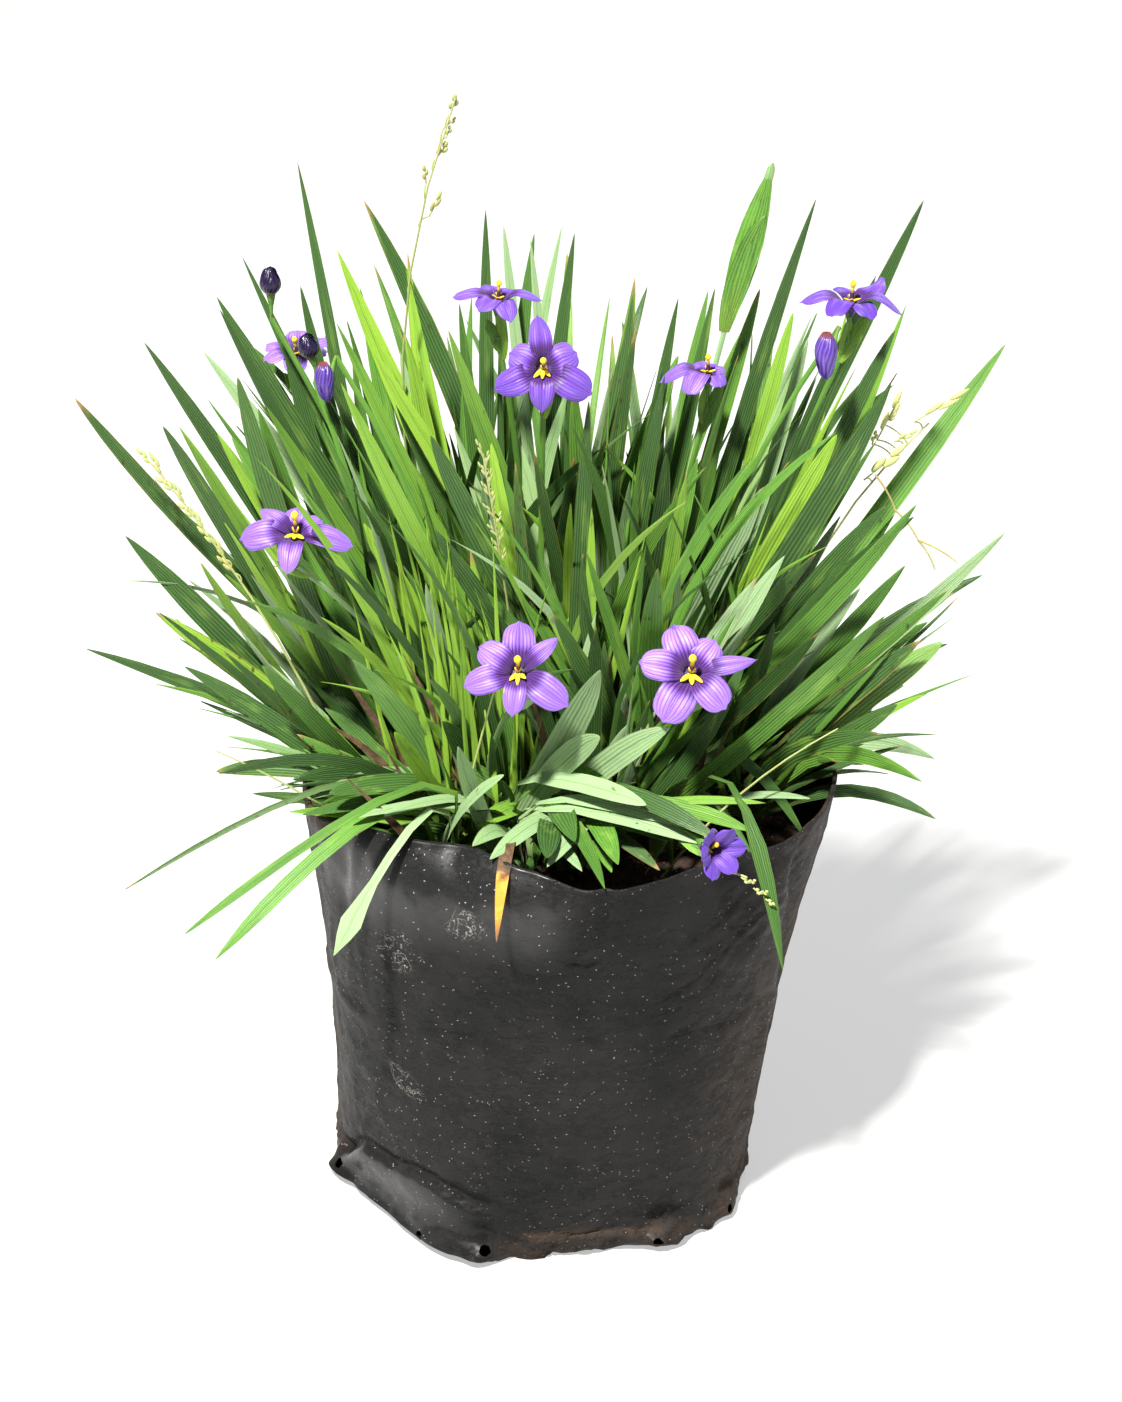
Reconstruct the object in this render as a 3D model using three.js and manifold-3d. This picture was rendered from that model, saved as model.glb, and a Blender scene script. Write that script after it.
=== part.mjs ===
// Blue-eyed grass in flower, in the black film grow bag that it was raised in.
// Millimetres, +Z up. The origin is on the ground, below the middle of the bag.
// -Y is the front. Leaves grow from the soil in flat fans, each from a crown of its own.

import * as THREE from 'three';
import { mergeVertices } from 'three/addons/utils/BufferGeometryUtils.js';
import Module from 'manifold-3d';

const wasm = await Module();
wasm.setup();

// The bag: a film tube, 250 mm wide when flat, that soil has filled to a round
const LAY_FLAT_WIDTH = 250;
const RIM_RADIUS = LAY_FLAT_WIDTH / Math.PI;
const BASE_RADIUS = 62.6;
const BAG_HEIGHT = 135;
const BAG_WALL = 1.2;
const BASE_MIDDLE_X = -4.9;
const RIM_MIDDLE_X = 1.9;
const WAIST = 1.5;
const COLUMNS = 36;

// How far the film stands out from its round, as [angle, mm]: folded corners below, rolls above
const BASE_FOLDS = [
  [-170, 2.5], [-140, -3.5], [-113, 4.5], [-76, -1], [-45, 7], [0, -1],
  [40, 5], [90, -2], [140, 5],
];
const RIM_FOLDS = [
  [-178, -1], [-152, 2.5], [-133, -8], [-114, -15], [-95, -7], [-82, -1], [-60, -5],
  [-37, 2.5], [-10, 1], [30, -2], [60, 3], [95, -3], [130, 3],
];
const RIM_LIFTS = [[-178, 0], [-114, 3], [-84, -1.5], [-40, 1], [20, -1], [80, 2], [130, 0]];
const BASE_FOLD_REACH = 18;
const BASE_ROUNDING = 3;
const RIM_FOLD_START = 88;
const RIM_FOLD_TOP = 124;
const WALL_LEVELS = [5, 16, 50, 92, 110, RIM_FOLD_TOP, BAG_HEIGHT];

// The soil, and the room left between pieces that touch
const SOIL_LEVEL = 112;
const SOIL_BUMP = 1.2;
const SOIL_EDGE = 0.86;
const FIT_GAP = 0.3;
const CLEARANCE = 0.35;

// Cuts leave slivers, so corners that stand out less than this are dropped
const FINEST = 0.03;

// Leaves: flat blades with parallel sides, thickest along the middle
const BLADE_THICKNESS = 1.15;
const BLADE_ROOT_SHARE = 0.4;
const TAPER_FROM = 0.66;
const LONG_BLADE = 160;
const MUCH_BOWED = 7;
const HUNG_BOW = 20;
const RIDGE_THICKER = 1.25;
const RING_BUNCHING = 0.56;
const BLADE_LAY = 0.25;

// Crowns: flat pegs in the soil. Blades are rooted along them, in thin layers one behind another
const CROWN_LENGTH = 14.4;
const CROWN_WIDTH = 5.8;
const CROWN_TOP = SOIL_LEVEL + 4.2;
const CROWN_FOOT = SOIL_LEVEL - 14;
const CROWN_MARGIN = 3;
const PEG_SIZE = 0.3;
const ROOT_LEVEL = SOIL_LEVEL + 2.4;
const LAYER_STEP = 1.5;
const STEM_STEP = 2.3;

// Blades of one fan may come nearer to each other, and may touch in the lowest part of their length
const OWN_CLEARANCE = 0.12;
const ROOT_PART = 0.03;

// How much a blade is drawn at random, and how much more at each new try
const TRIES = 16;
const OUTER_NUDGE = 2.4;
const OUTER_STRAIN = 1.2;
const OUTER_TWIST = 0.7;
const FILL_REACH = 0.98;
const FILL_SHORTER = 0.42;
const LAID_SHORTER = 0.24;
const FILL_SPREAD = 26;
const FILL_BOW = 5;
const FILL_TWIST = 1.1;
const FILL_WIDTH = 3.8;
const FILL_WIDER = 3.2;
const ARCH_BELOW = 0.75;
const ARCH_STEP = 1.1;

// Each fan: where its crown stands, the way its blades face (0 is -Y), how many blades fill it,
// and its outer blades as [tip x, tip y, tip z, width, bow]. A low fan's blades lay flatter and
// have their bow near the root
const FANS = [
  { at: [-55, 24], faces: -8, fill: 9,
    blades: [[-114, 5, 240, 5.5, 2], [-110, 10, 238, 5, 2], [-76, 45, 306, 3.6, 3]] },
  { at: [-38, 34], faces: 6, fill: 10,
    blades: [[-120, 20, 260, 5.6, 2], [-76, 40, 270, 4, -2], [-60, 62, 262, 5, 0]] },
  { at: [-22, 26], faces: 0, fill: 9,
    blades: [[-140, 10, 247, 4.6, -8], [-93, 35, 282, 3.6, 2], [-46, 58, 270, 3.4, 0]] },
  { at: [-6, 22], faces: -6, fill: 9,
    blades: [[-105, 35, 252, 6.6, 3], [-99, 25, 272, 7, -3], [-65, 28, 263, 4.6, 0]] },
  { at: [-44, 8], faces: 10, fill: 10,
    blades: [[-126, 0, 208, 7, 0], [-118, -5, 186, 6.6, 2], [-140, 0, 172, 4, 4]] },
  { at: [-36, -10], faces: 14, fill: 10,
    blades: [[-110, -8, 170, 5.6, 3], [-102, -5, 134, 5.6, 10], [-78, -26, 142, 5, 10]] },
  { at: [-26, 8], faces: -4, fill: 11,
    blades: [[-95, 10, 235, 5, 0], [-70, 5, 243, 3.6, 2], [-57, 0, 212, 8, 2]] },
  { at: [14, 30], faces: 8, fill: 9,
    blades: [[-66, 55, 276, 6.6, -4], [-32, 8, 268, 6, 0], [-55, 20, 259, 5.4, 0]] },
  { at: [28, 3], faces: 0, fill: 9,
    blades: [[-37, -5, 241, 6.6, -2], [-36, -14, 216, 6.2, -2], [7, -20, 212, 3.6, 0]] },
  { at: [-28, 44], faces: 4, fill: 9,
    blades: [[-90, 62, 240, 5, 2], [-46, 64, 262, 4, 0], [-22, 50, 290, 4.6, 3]] },
  { at: [-11, 44], faces: -6, fill: 9,
    blades: [[-30, 48, 262, 4.6, 0], [4, 50, 283, 5, 2], [35, 50, 245, 5.6, 2]] },
  { at: [6, 46], faces: 10, fill: 9,
    blades: [[-17, 60, 282, 3.6, 0], [-9, 54, 280, 3.8, 0], [22, 40, 257, 4.8, 3]] },
  { at: [2, 2], faces: -10, fill: 9,
    blades: [[-20, 2, 236, 5, 0], [8, 10, 246, 5, 0], [20, 0, 226, 4.6, 2]] },
  { at: [11, 14], faces: 12, fill: 9,
    blades: [[30, 20, 250, 5, 0], [58, -2, 224, 7.6, 0], [95, 15, 249, 8.4, -3]] },
  { at: [22, 38], faces: 2, fill: 10,
    blades: [[46, 62, 262, 4.6, 0], [59, 55, 264, 4.8, 2], [74, 45, 295, 4.8, 3]] },
  { at: [38, 31], faces: 8, fill: 10,
    blades: [[68, 40, 262, 5, 0], [92, 35, 276, 6, 2], [97, 30, 260, 5.2, 3]] },
  { at: [28, 19], faces: -4, fill: 9,
    blades: [[36, -5, 230, 4.8, 0], [80, 12, 235, 7, 0], [95, 15, 211, 5.6, 4]] },
  { at: [14, -11], faces: 6, fill: 9,
    blades: [[10, -24, 190, 5, 2], [56, -20, 204, 6, 2], [64, -12, 207, 6.6, 3]] },
  { at: [46, 18], faces: -8, fill: 11,
    blades: [[130, 10, 205, 5.2, -2], [117, 20, 181, 4.4, 3], [88, 8, 188, 5.4, 3]] },
  { at: [56, 6], faces: -14, fill: 10,
    blades: [[105, -5, 177, 7, 2], [112, 0, 174, 7.4, 3], [112, 5, 133, 6, 12]] },
  { at: [-22, -16], faces: 10, fill: 8,
    blades: [[-59, -35, 185, 7, 4], [-34, -32, 164, 7, 5], [-24, -28, 178, 5, 2]] },
  { at: [-5.5, -11.5], faces: 2, fill: 6, lay: 1.2, early: 0.7,
    blades: [[-30, -32, 150, 7, 5], [4, -62, 141, 7.6, 12], [27, -32, 138, 8, 9]] },
  { at: [-35, -35], faces: -30, fill: 2, lay: 1.6, early: 0.45,
    blades: [[-78, -42, 140, 5, 12], [-97, -78, 112, 6.8, 25], [-64, -78, 113, 6.4, 25]] },
  { at: [33, -18], faces: 20, fill: 6, lay: 1.4, early: 0.7,
    blades: [[36, -44, 152, 6, 4], [62, -76, 108, 7.4, 28], [72, -34, 140, 4.4, 9]] },
  { at: [6, -29], faces: 8, fill: 5, lay: 1.5, early: 0.7,
    blades: [[-4, -68, 139, 7, 14], [16, -70, 138, 6.6, 14], [44, -56, 139, 6, 10]] },
];

// Fans behind the others: they lean back and out, spread evenly round the rear of the bag
const BACK_FANS = 5;
const BACK_FROM = 41;
const BACK_TO = 139;
const BACK_RADIUS = 62;
const BACK_MIDDLE_Y = 2;
const BACK_REACH = 150;
const BACK_FILL = 10;

// Flowers: six tepals, 27 mm across, round a yellow column
const TEPAL_LENGTH = 13.4;
const TEPAL_WIDTH = 9.2;
const TEPAL_BUNCHING = 0.7;
const TEPAL_THICKNESS = 0.9;
const HUB_HEIGHT = 2.4;
const STALK_GAP = 0.7;
const STALK_SINK = 1.1;
const STALK_WIDTH = 1.15;
const EYE_HEIGHT = 4.6;
const STEM_WIDTH = 2.2;
const STEM_THICKNESS = 1.3;
const PEDICEL_LENGTH = 11;
const BRACT_LENGTH = 17;

// Each flower: its place, the way it looks, how far it is open (degrees up from flat),
// its size, the fan that its stem grows in, and the stem's bow
const FLOWERS = [
  { at: [-5, 6, 257], looks: [0, -0.93, 0.36], open: 6, size: 1, fan: 3, bow: 3 },
  { at: [-18, 26, 272], looks: [0.05, -0.1, 1], open: 4, size: 0.9, fan: 10, bow: 2 },
  { at: [-75, -20, 218], looks: [0, -0.55, 0.84], open: 8, size: 1.12, fan: 6, bow: 8 },
  { at: [-12, -45, 186], looks: [-0.05, -0.78, 0.62], open: 8, size: 1.12, fan: 20, bow: 6 },
  { at: [37, -37, 182], looks: [0.05, -0.74, 0.67], open: 6, size: 1.2, fan: 17, bow: 6 },
  { at: [43, 33, 247], looks: [0, -0.16, 0.99], open: 2, size: 0.92, fan: 14, bow: 2 },
  { at: [84, 30, 270], looks: [0.06, -0.06, 1], open: 0, size: 1, fan: 15, bow: 3 },
  { at: [45, -66, 141], looks: [0.5, -0.84, 0.2], open: 36, size: 0.82, fan: 21, bow: 14,
    neck: [-10, 8.5, 1] },
  { at: [-79, 54, 245], looks: [-0.1, -0.2, 0.97], open: 4, size: 0.9, fan: 1, bow: 2 },
];

// Closed flowers, nearly black: place, the way they point, length, thickness, fan and stem's bow
const BUDS = [
  { at: [-84, 32, 274], points: [0, 0, 1], length: 8, width: 5.6, fan: 2, bow: 4 },
  { at: [-73, 24, 257], points: [-0.2, 0, 1], length: 7, width: 5.4, fan: 4, bow: 6 },
  { at: [-66, 16, 244], points: [0.1, -0.3, -1], length: 11, width: 5, fan: 6, bow: 12 },
  { at: [78, 16, 252], points: [0, -0.2, -1], length: 13, width: 6, fan: 16, bow: 10 },
];

// A broad green spathe with a flower still inside, on its own stem
const SPATHE = { at: [61, 50, 302], fan: 14, length: 46, width: 8.4, thickness: 3.2, bow: 4 };

// Meadow-grass heads between the fans: foot, top, bow, and the share of the stem that bears spikelets
const GRASSES = [
  { foot: [-20, 53], top: [-30, 40, 326], bow: -6, bears: 0.22, spikelets: 7, size: 1 },
  { foot: [62, 29], top: [118, 20, 245], bow: 16, bears: 0.4, spikelets: 9, size: 1.35 },
  { foot: [-58, -4], top: [-118, 6, 228], bow: 6, bears: 0.34, spikelets: 7, size: 1 },
  { foot: [-10, 9], top: [-22, -12, 238], bow: 3, bears: 0.3, spikelets: 6, size: 0.9 },
];

// One withered leaf, hung over the front of the rim
const DEAD_LEAF = { foot: [-14, -36], tip: [-19, -86, 118], width: 6, bow: 24 };

const LEAF_GREEN = '#5c8f32';
const PALE_GREEN = '#9fb857';
const TEPAL_VIOLET = '#7d55c7';
const EYE_YELLOW = '#e0b422';
const BUD_PURPLE = '#1d1238';
const DEAD_BROWN = '#b0803a';
const SOIL_BROWN = '#1c1613';
const FILM_BLACK = '#17181b';

const UP = new THREE.Vector3(0, 0, 1);
const FORWARD_UP = new THREE.Vector3(0, -0.9, 0.44);

function seeded(seed) {
  let state = seed >>> 0;
  return () => {
    state = (state + 0x6d2b79f5) >>> 0;
    let mixed = Math.imul(state ^ (state >>> 15), state | 1);
    mixed ^= mixed + Math.imul(mixed ^ (mixed >>> 7), mixed | 61);
    return ((mixed ^ (mixed >>> 14)) >>> 0) / 4294967296;
  };
}

// A value between the two nearest points of a ring of [angle, value] points
function aroundRing(points, angle) {
  const turned = THREE.MathUtils.euclideanModulo(angle - points[0][0], 360);
  const steps = points.map(([at]) => at - points[0][0]).concat(360);
  const next = steps.findIndex((step) => step > turned);
  const share = (turned - steps[next - 1]) / (steps[next] - steps[next - 1]);
  const eased = (1 - Math.cos(Math.PI * share)) / 2;
  return THREE.MathUtils.lerp(points[next - 1][1], points[next % points.length][1], eased);
}

function filmRadius(degrees, level) {
  const up = level / BAG_HEIGHT;
  const round = THREE.MathUtils.lerp(BASE_RADIUS, RIM_RADIUS, up) - WAIST * Math.sin(Math.PI * up);
  const corner = aroundRing(BASE_FOLDS, degrees) * Math.exp(-level / BASE_FOLD_REACH);
  const roll = THREE.MathUtils.smoothstep(level, RIM_FOLD_START, BAG_HEIGHT);
  return round + corner + aroundRing(RIM_FOLDS, degrees) * roll;
}

// Rings of vertices, from the axis below round to the axis again: [share of the radius, inset, level]
function filmSolid(stations, bump = () => 0, isTurned = false) {
  const profile = stations.map(([share, , level]) => new THREE.Vector2(share, level));
  const geometry = new THREE.LatheGeometry(profile, COLUMNS);
  const spots = geometry.attributes.position;
  for (let index = 0; index < spots.count; index += 1) {
    const degrees = (Math.floor(index / stations.length) / COLUMNS) * 360;
    const [share, inset, level] = stations[index % stations.length];
    const radius = share * (filmRadius(degrees, level) - inset);
    const lift = THREE.MathUtils.smoothstep(level, RIM_FOLD_START, BAG_HEIGHT);
    const middle = THREE.MathUtils.lerp(BASE_MIDDLE_X, RIM_MIDDLE_X, level / BAG_HEIGHT);
    const x = middle + radius * Math.cos(THREE.MathUtils.degToRad(degrees));
    const y = radius * Math.sin(THREE.MathUtils.degToRad(degrees));
    const rise = share === 1 ? lift * aroundRing(RIM_LIFTS, degrees) : 0;
    const z = level + rise + bump(share, degrees);
    spots.setXYZ(index, x, y, z);
  }
  return solidOf(geometry, isTurned);
}

function solidOf(geometry, isTurned = false) {
  const bare = new THREE.BufferGeometry();
  bare.setAttribute('position', geometry.attributes.position.clone());
  bare.setIndex(geometry.index);
  const merged = mergeVertices(bare, 1e-4);
  const vertProperties = new Float32Array(merged.attributes.position.array);
  const order = Array.from(merged.index.array);
  const triVerts = new Uint32Array(isTurned ? order.reverse() : order);
  return new wasm.Manifold(new wasm.Mesh({ numProp: 3, vertProperties, triVerts }));
}

// The upright side of the film, or of what lies inside it, up to a level
function wallStations(inset, upTo) {
  const levels = WALL_LEVELS.filter((level) => level <= upTo);
  return levels.map((level) => [1, inset, level]);
}

function bagSolid() {
  const under = [[0, 0, 0], [1, BASE_ROUNDING, 0]];
  const outside = wallStations(0, BAG_HEIGHT);
  const inside = wallStations(BAG_WALL, BAG_HEIGHT).reverse();
  const floor = [[1, BASE_ROUNDING + BAG_WALL, BAG_WALL], [0, 0, BAG_WALL]];
  return filmSolid([...under, ...outside, ...inside, ...floor]);
}

// The soil's rings run downwards, as those of the film's inner face do, so that both are split
// into the same triangles and keep their distance. That turns its faces, so they are turned back
function soilSolid(holes) {
  const inset = BAG_WALL + FIT_GAP;
  const top = [[0, inset, SOIL_LEVEL], [0.74, inset, SOIL_LEVEL], [SOIL_EDGE, inset, SOIL_LEVEL]];
  const side = wallStations(inset, SOIL_LEVEL).reverse();
  const foot = [[1, BASE_ROUNDING + inset, inset], [0, 0, inset]];
  const crumbs = (share, degrees) => {
    const turn = THREE.MathUtils.degToRad(degrees);
    return share === SOIL_EDGE ? SOIL_BUMP * (0.4 + Math.sin(5 * turn)) : 0;
  };
  const body = filmSolid([...top, ...side, ...foot], crumbs, true);
  return body.subtract(wasm.Manifold.union(holes)).asOriginal().simplify(FINEST);
}

// The centre line of a blade or a stem: straight from root to tip, with a bow upward or to a side.
// An early under 1 has the bow's highest point nearer to the root
function lineAt(blade, share) {
  const chord = blade.tip.clone().sub(blade.root);
  const along = chord.clone().normalize();
  const lift = UP.clone().addScaledVector(along, -UP.dot(along)).normalize();
  const side = along.clone().cross(lift);
  const early = blade.early ?? 1;
  const eased = share ** early;
  const swell = 4 * eased * (1 - eased);
  const slope = 4 * (1 - 2 * eased) * early * Math.max(share, 0.02) ** (early - 1);
  const spot = blade.root.clone().addScaledVector(chord, share);
  spot.addScaledVector(lift, blade.bow * swell).addScaledVector(side, blade.sway * swell);
  const tangent = chord.addScaledVector(lift, blade.bow * slope);
  tangent.addScaledVector(side, blade.sway * slope).normalize();
  return { spot, tangent };
}

// The frame of a cross-section: its width direction and the way that its face looks
function sectionAt(blade, share) {
  const { spot, tangent } = lineAt(blade, share);
  const face = blade.face.clone().addScaledVector(tangent, -blade.face.dot(tangent)).normalize();
  face.applyAxisAngle(tangent, blade.twist * share);
  return { spot, face, across: tangent.clone().cross(face) };
}

// A cone or cylinder whose rings are moved on to a blade's centre line. A bunching under 1 brings
// the rings nearer to the tip, where the outline turns most
function sweptSolid(geometry, blade, widthAt, thicknessAt, from = 0, bunching = 1) {
  const spots = geometry.attributes.position;
  const corner = new THREE.Vector3();
  for (let index = 0; index < spots.count; index += 1) {
    corner.fromBufferAttribute(spots, index);
    const share = from + (1 - from) * (corner.y + 0.5) ** bunching;
    const round = Math.hypot(corner.x, corner.z);
    const { spot, face, across } = sectionAt(blade, share);
    if (round > 1e-6) {
      spot.addScaledVector(across, (corner.x / round) * widthAt(share) / 2);
      spot.addScaledVector(face, (corner.z / round) * thicknessAt(share) / 2);
    }
    spots.setXYZ(index, spot.x, spot.y, spot.z);
  }
  return solidOf(geometry);
}

function bladeWidth(blade, share) {
  const opening = Math.min(1, (share / 0.35) ** 0.8);
  const closing = share < TAPER_FROM ? 1 : 1 - ((share - TAPER_FROM) / (1 - TAPER_FROM)) ** 1.8;
  return blade.width * (BLADE_ROOT_SHARE + (1 - BLADE_ROOT_SHARE) * opening) * closing / 0.866;
}

// A three-sided blade: a flat back and a low ridge along the middle of its face. One that hangs
// over the rim has evenly spaced rings
function bladeSolid(blade, from = 0) {
  const isHung = blade.bow > HUNG_BOW;
  const isLong = blade.tip.distanceTo(blade.root) > LONG_BLADE || Math.abs(blade.bow) > MUCH_BOWED;
  const segments = isHung ? 5 : 3 + isLong;
  const cone = new THREE.ConeGeometry(1, 1, 3, segments);
  const width = (share) => bladeWidth(blade, share);
  const thickness = (share) => BLADE_THICKNESS * (RIDGE_THICKER - 0.3 * share);
  return sweptSolid(cone, blade, width, thickness, from, isHung ? 1 : RING_BUNCHING);
}

function stemSolid(stem, segments = 4, width = STEM_WIDTH, thickness = STEM_THICKNESS) {
  const post = new THREE.CylinderGeometry(1, 1, 1, 3, segments);
  return sweptSolid(post, stem, (share) => width * (1 - 0.3 * share), () => thickness);
}

// A slender body, pointed at both ends, between two points: an ovary, a closed flower or a spikelet
function podSolid(from, to, width, sides = 5, fullest = 0.5, stacks = 4) {
  const length = from.distanceTo(to);
  const geometry = new THREE.SphereGeometry(0.5, sides, stacks);
  const spots = geometry.attributes.position;
  for (let index = 0; index < spots.count; index += 1) {
    const share = (spots.getY(index) + 0.5) ** (Math.log(fullest) / Math.log(0.5));
    spots.setXYZ(index, spots.getX(index) * width, (share - 0.5) * length, spots.getZ(index) * width);
  }
  const turn = new THREE.Quaternion().setFromUnitVectors(
    new THREE.Vector3(0, 1, 0), to.clone().sub(from).normalize());
  geometry.applyQuaternion(turn);
  const middle = from.clone().add(to).multiplyScalar(0.5);
  geometry.translate(middle.x, middle.y, middle.z);
  return solidOf(geometry);
}

// The crown that a fan grows from: a flat oval peg, sunk into the soil. grow makes its hole
function crownSolid(at, faces, grow = 0, size = 1) {
  const height = CROWN_TOP - CROWN_FOOT + 2 * grow;
  const geometry = new THREE.CylinderGeometry(Math.SQRT2, 0.8, height, 4, 1, false, Math.PI / 4);
  geometry.rotateX(Math.PI / 2);
  geometry.scale(size * CROWN_LENGTH / 2 + grow, size * CROWN_WIDTH / 2 + grow, 1);
  geometry.rotateZ(THREE.MathUtils.degToRad(faces));
  geometry.translate(at[0], at[1], (CROWN_TOP + CROWN_FOOT) / 2);
  return solidOf(geometry);
}

// Everything placed so far, each solid with its box and the node that it belongs to
const placed = [];
const bodies = new Map();

function place(node, whole, outer = whole) {
  placed.push({ node, whole, outer, box: whole.boundingBox() });
  bodies.set(node, [...(bodies.get(node) ?? []), whole]);
}

function boxesMeet(one, other) {
  const axes = [0, 1, 2];
  return axes.every((axis) => one.min[axis] - CLEARANCE < other.max[axis]
    && other.min[axis] - CLEARANCE < one.max[axis]);
}

// True where a solid keeps its distance from the other nodes, and its outer part from its own node
function isClear(node, whole, outer = whole) {
  const box = whole.boundingBox();
  return placed.every((piece) => {
    if (!boxesMeet(box, piece.box)) {
      return true;
    }
    const own = piece.node === node;
    if (own && !(outer && piece.outer)) {
      return true;
    }
    const [mine, theirs] = own ? [outer, piece.outer] : [whole, piece.whole];
    return mine.minGap(theirs, 2 * CLEARANCE) > (own ? OWN_CLEARANCE : CLEARANCE);
  });
}

function facing(degrees, lay) {
  const turn = THREE.MathUtils.degToRad(degrees);
  return new THREE.Vector3(Math.sin(turn), -Math.cos(turn), lay).normalize();
}

// Where a blade is rooted: in a row along the crown, in the order that the tips have, and in layers
function rootAt(fan, share, layer) {
  return crownSpot(fan, (share - 0.5) * (CROWN_LENGTH - CROWN_MARGIN), layer * LAYER_STEP);
}

function crownSpot(fan, along, step) {
  const turn = THREE.MathUtils.degToRad(fan.faces);
  const x = fan.at[0] + along * Math.cos(turn) - step * Math.sin(turn);
  const y = fan.at[1] + along * Math.sin(turn) + step * Math.cos(turn);
  return new THREE.Vector3(x, y, ROOT_LEVEL);
}

// How much a low blade has to arch more, at each new draw, to clear the rim
function lowness(tip, root) {
  const way = tip.clone().sub(root).normalize();
  return Math.max(0, ARCH_STEP * (ARCH_BELOW - way.z));
}

function outerBlade(fan, index, draw, attempt) {
  const [x, y, z, width, bow] = fan.blades[index];
  const nudge = attempt === 0 ? 0 : (draw() - 0.5) * OUTER_NUDGE * attempt;
  const tip = new THREE.Vector3(x, y, z).addScaledVector(FORWARD_UP, nudge);
  const share = index / (fan.blades.length - 1);
  const strain = OUTER_STRAIN * attempt;
  const root = rootAt(fan, share, attempt % 2 ? draw() * 2 - 1 : 0);
  return {
    root,
    tip,
    width,
    bow: bow + (draw() - 0.5) * strain + lowness(tip, root) * attempt,
    sway: (draw() - 0.5) * (1 + strain),
    early: fan.early,
    face: facing(fan.faces, fan.lay ?? BLADE_LAY),
    twist: (draw() - 0.5) * OUTER_TWIST,
  };
}

// A blade between two neighbouring outer ones, shorter than they are
function fillBlade(fan, index, draw, attempt) {
  const gaps = fan.blades.length - 1;
  const before = Math.floor((index * gaps) / fan.fill);
  const inGap = fan.fill / gaps;
  const order = before + (index - before * inGap + 0.6 + 0.8 * draw()) / (inGap + 1);
  const [first, second] = [fan.blades[before], fan.blades[before + 1]];
  const mix = (axis) => THREE.MathUtils.lerp(first[axis], second[axis], order - before);
  const reach = FILL_REACH - (fan.lay ? LAID_SHORTER : FILL_SHORTER) * draw();
  const loose = 1 + 0.2 * attempt;
  const spread = new THREE.Vector3(draw() - 0.5, draw() - 0.5, 0.4 * (draw() - 0.5));
  const root = rootAt(fan, order / gaps, Math.round(2.6 * spread.y));
  const tip = new THREE.Vector3(mix(0), mix(1), mix(2)).sub(root).multiplyScalar(reach).add(root);
  tip.addScaledVector(spread, FILL_SPREAD * loose);
  const arch = mix(4) * reach + lowness(tip, root) * attempt;
  return {
    root,
    tip,
    width: FILL_WIDTH + FILL_WIDER * draw(),
    bow: arch + (draw() - 0.5) * FILL_BOW * loose,
    sway: (draw() - 0.5) * FILL_BOW * loose,
    early: fan.early,
    face: facing(fan.faces, fan.lay ?? BLADE_LAY),
    twist: (draw() - 0.5) * FILL_TWIST,
  };
}

function backFan(index) {
  const share = index / (BACK_FANS - 1);
  const heading = THREE.MathUtils.lerp(BACK_FROM, BACK_TO, share);
  const draw = seeded(9000 + index);
  const radius = BACK_RADIUS * (0.97 + 0.06 * draw());
  const turn = THREE.MathUtils.degToRad(heading);
  const at = [radius * Math.cos(turn), BACK_MIDDLE_Y + radius * Math.sin(turn)];
  const blades = [-26, 2, 30].map((swing) => {
    const lean = THREE.MathUtils.degToRad(8 + 24 * draw());
    const way = THREE.MathUtils.degToRad(heading + swing + 14 * (draw() - 0.5));
    const reach = BACK_REACH * (0.84 + 0.2 * draw());
    const out = reach * Math.sin(lean);
    const tip = [at[0] + out * Math.cos(way), at[1] + out * Math.sin(way)];
    return [...tip, ROOT_LEVEL + reach * Math.cos(lean), 4.4 + 2.4 * draw(), 5 + 7 * draw()];
  });
  return { at, faces: heading - 90 + 30 * (draw() - 0.5), fill: BACK_FILL, blades };
}

const fans = [...FANS, ...Array.from({ length: BACK_FANS }, (_, index) => backFan(index))];

const fanName = (index) => `leaf_fan_${String(index + 1).padStart(2, '0')}`;

// Draws a blade again and again, until one keeps its distance
function growBlade(fanIndex, seed, make) {
  const fan = fans[fanIndex];
  for (let attempt = 0; attempt < TRIES; attempt += 1) {
    const blade = make(fan, seeded(seed * 32 + attempt), attempt);
    const whole = bladeSolid(blade);
    const outer = bladeSolid(blade, ROOT_PART);
    if (isClear(fanName(fanIndex), whole, outer)) {
      place(fanName(fanIndex), whole, outer);
      return true;
    }
  }
  return false;
}

function growFan(fanIndex, kind) {
  const outer = kind === 'outer';
  const count = outer ? fans[fanIndex].blades.length : fans[fanIndex].fill;
  const make = outer ? outerBlade : fillBlade;
  let grown = 0;
  for (let index = 0; index < count; index += 1) {
    const seed = fanIndex * 64 + index + (outer ? 0 : 16);
    grown += growBlade(fanIndex, seed, (fan, draw, attempt) => make(fan, index, draw, attempt));
  }
  return grown;
}

function stemLine(fanIndex, top, bow, sway = 0) {
  const fan = fans[fanIndex];
  const root = crownSpot(fan, 0, -STEM_STEP);
  return { root, tip: top, bow, sway, face: facing(fan.faces, 0.25), twist: 0, width: STEM_WIDTH };
}

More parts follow.
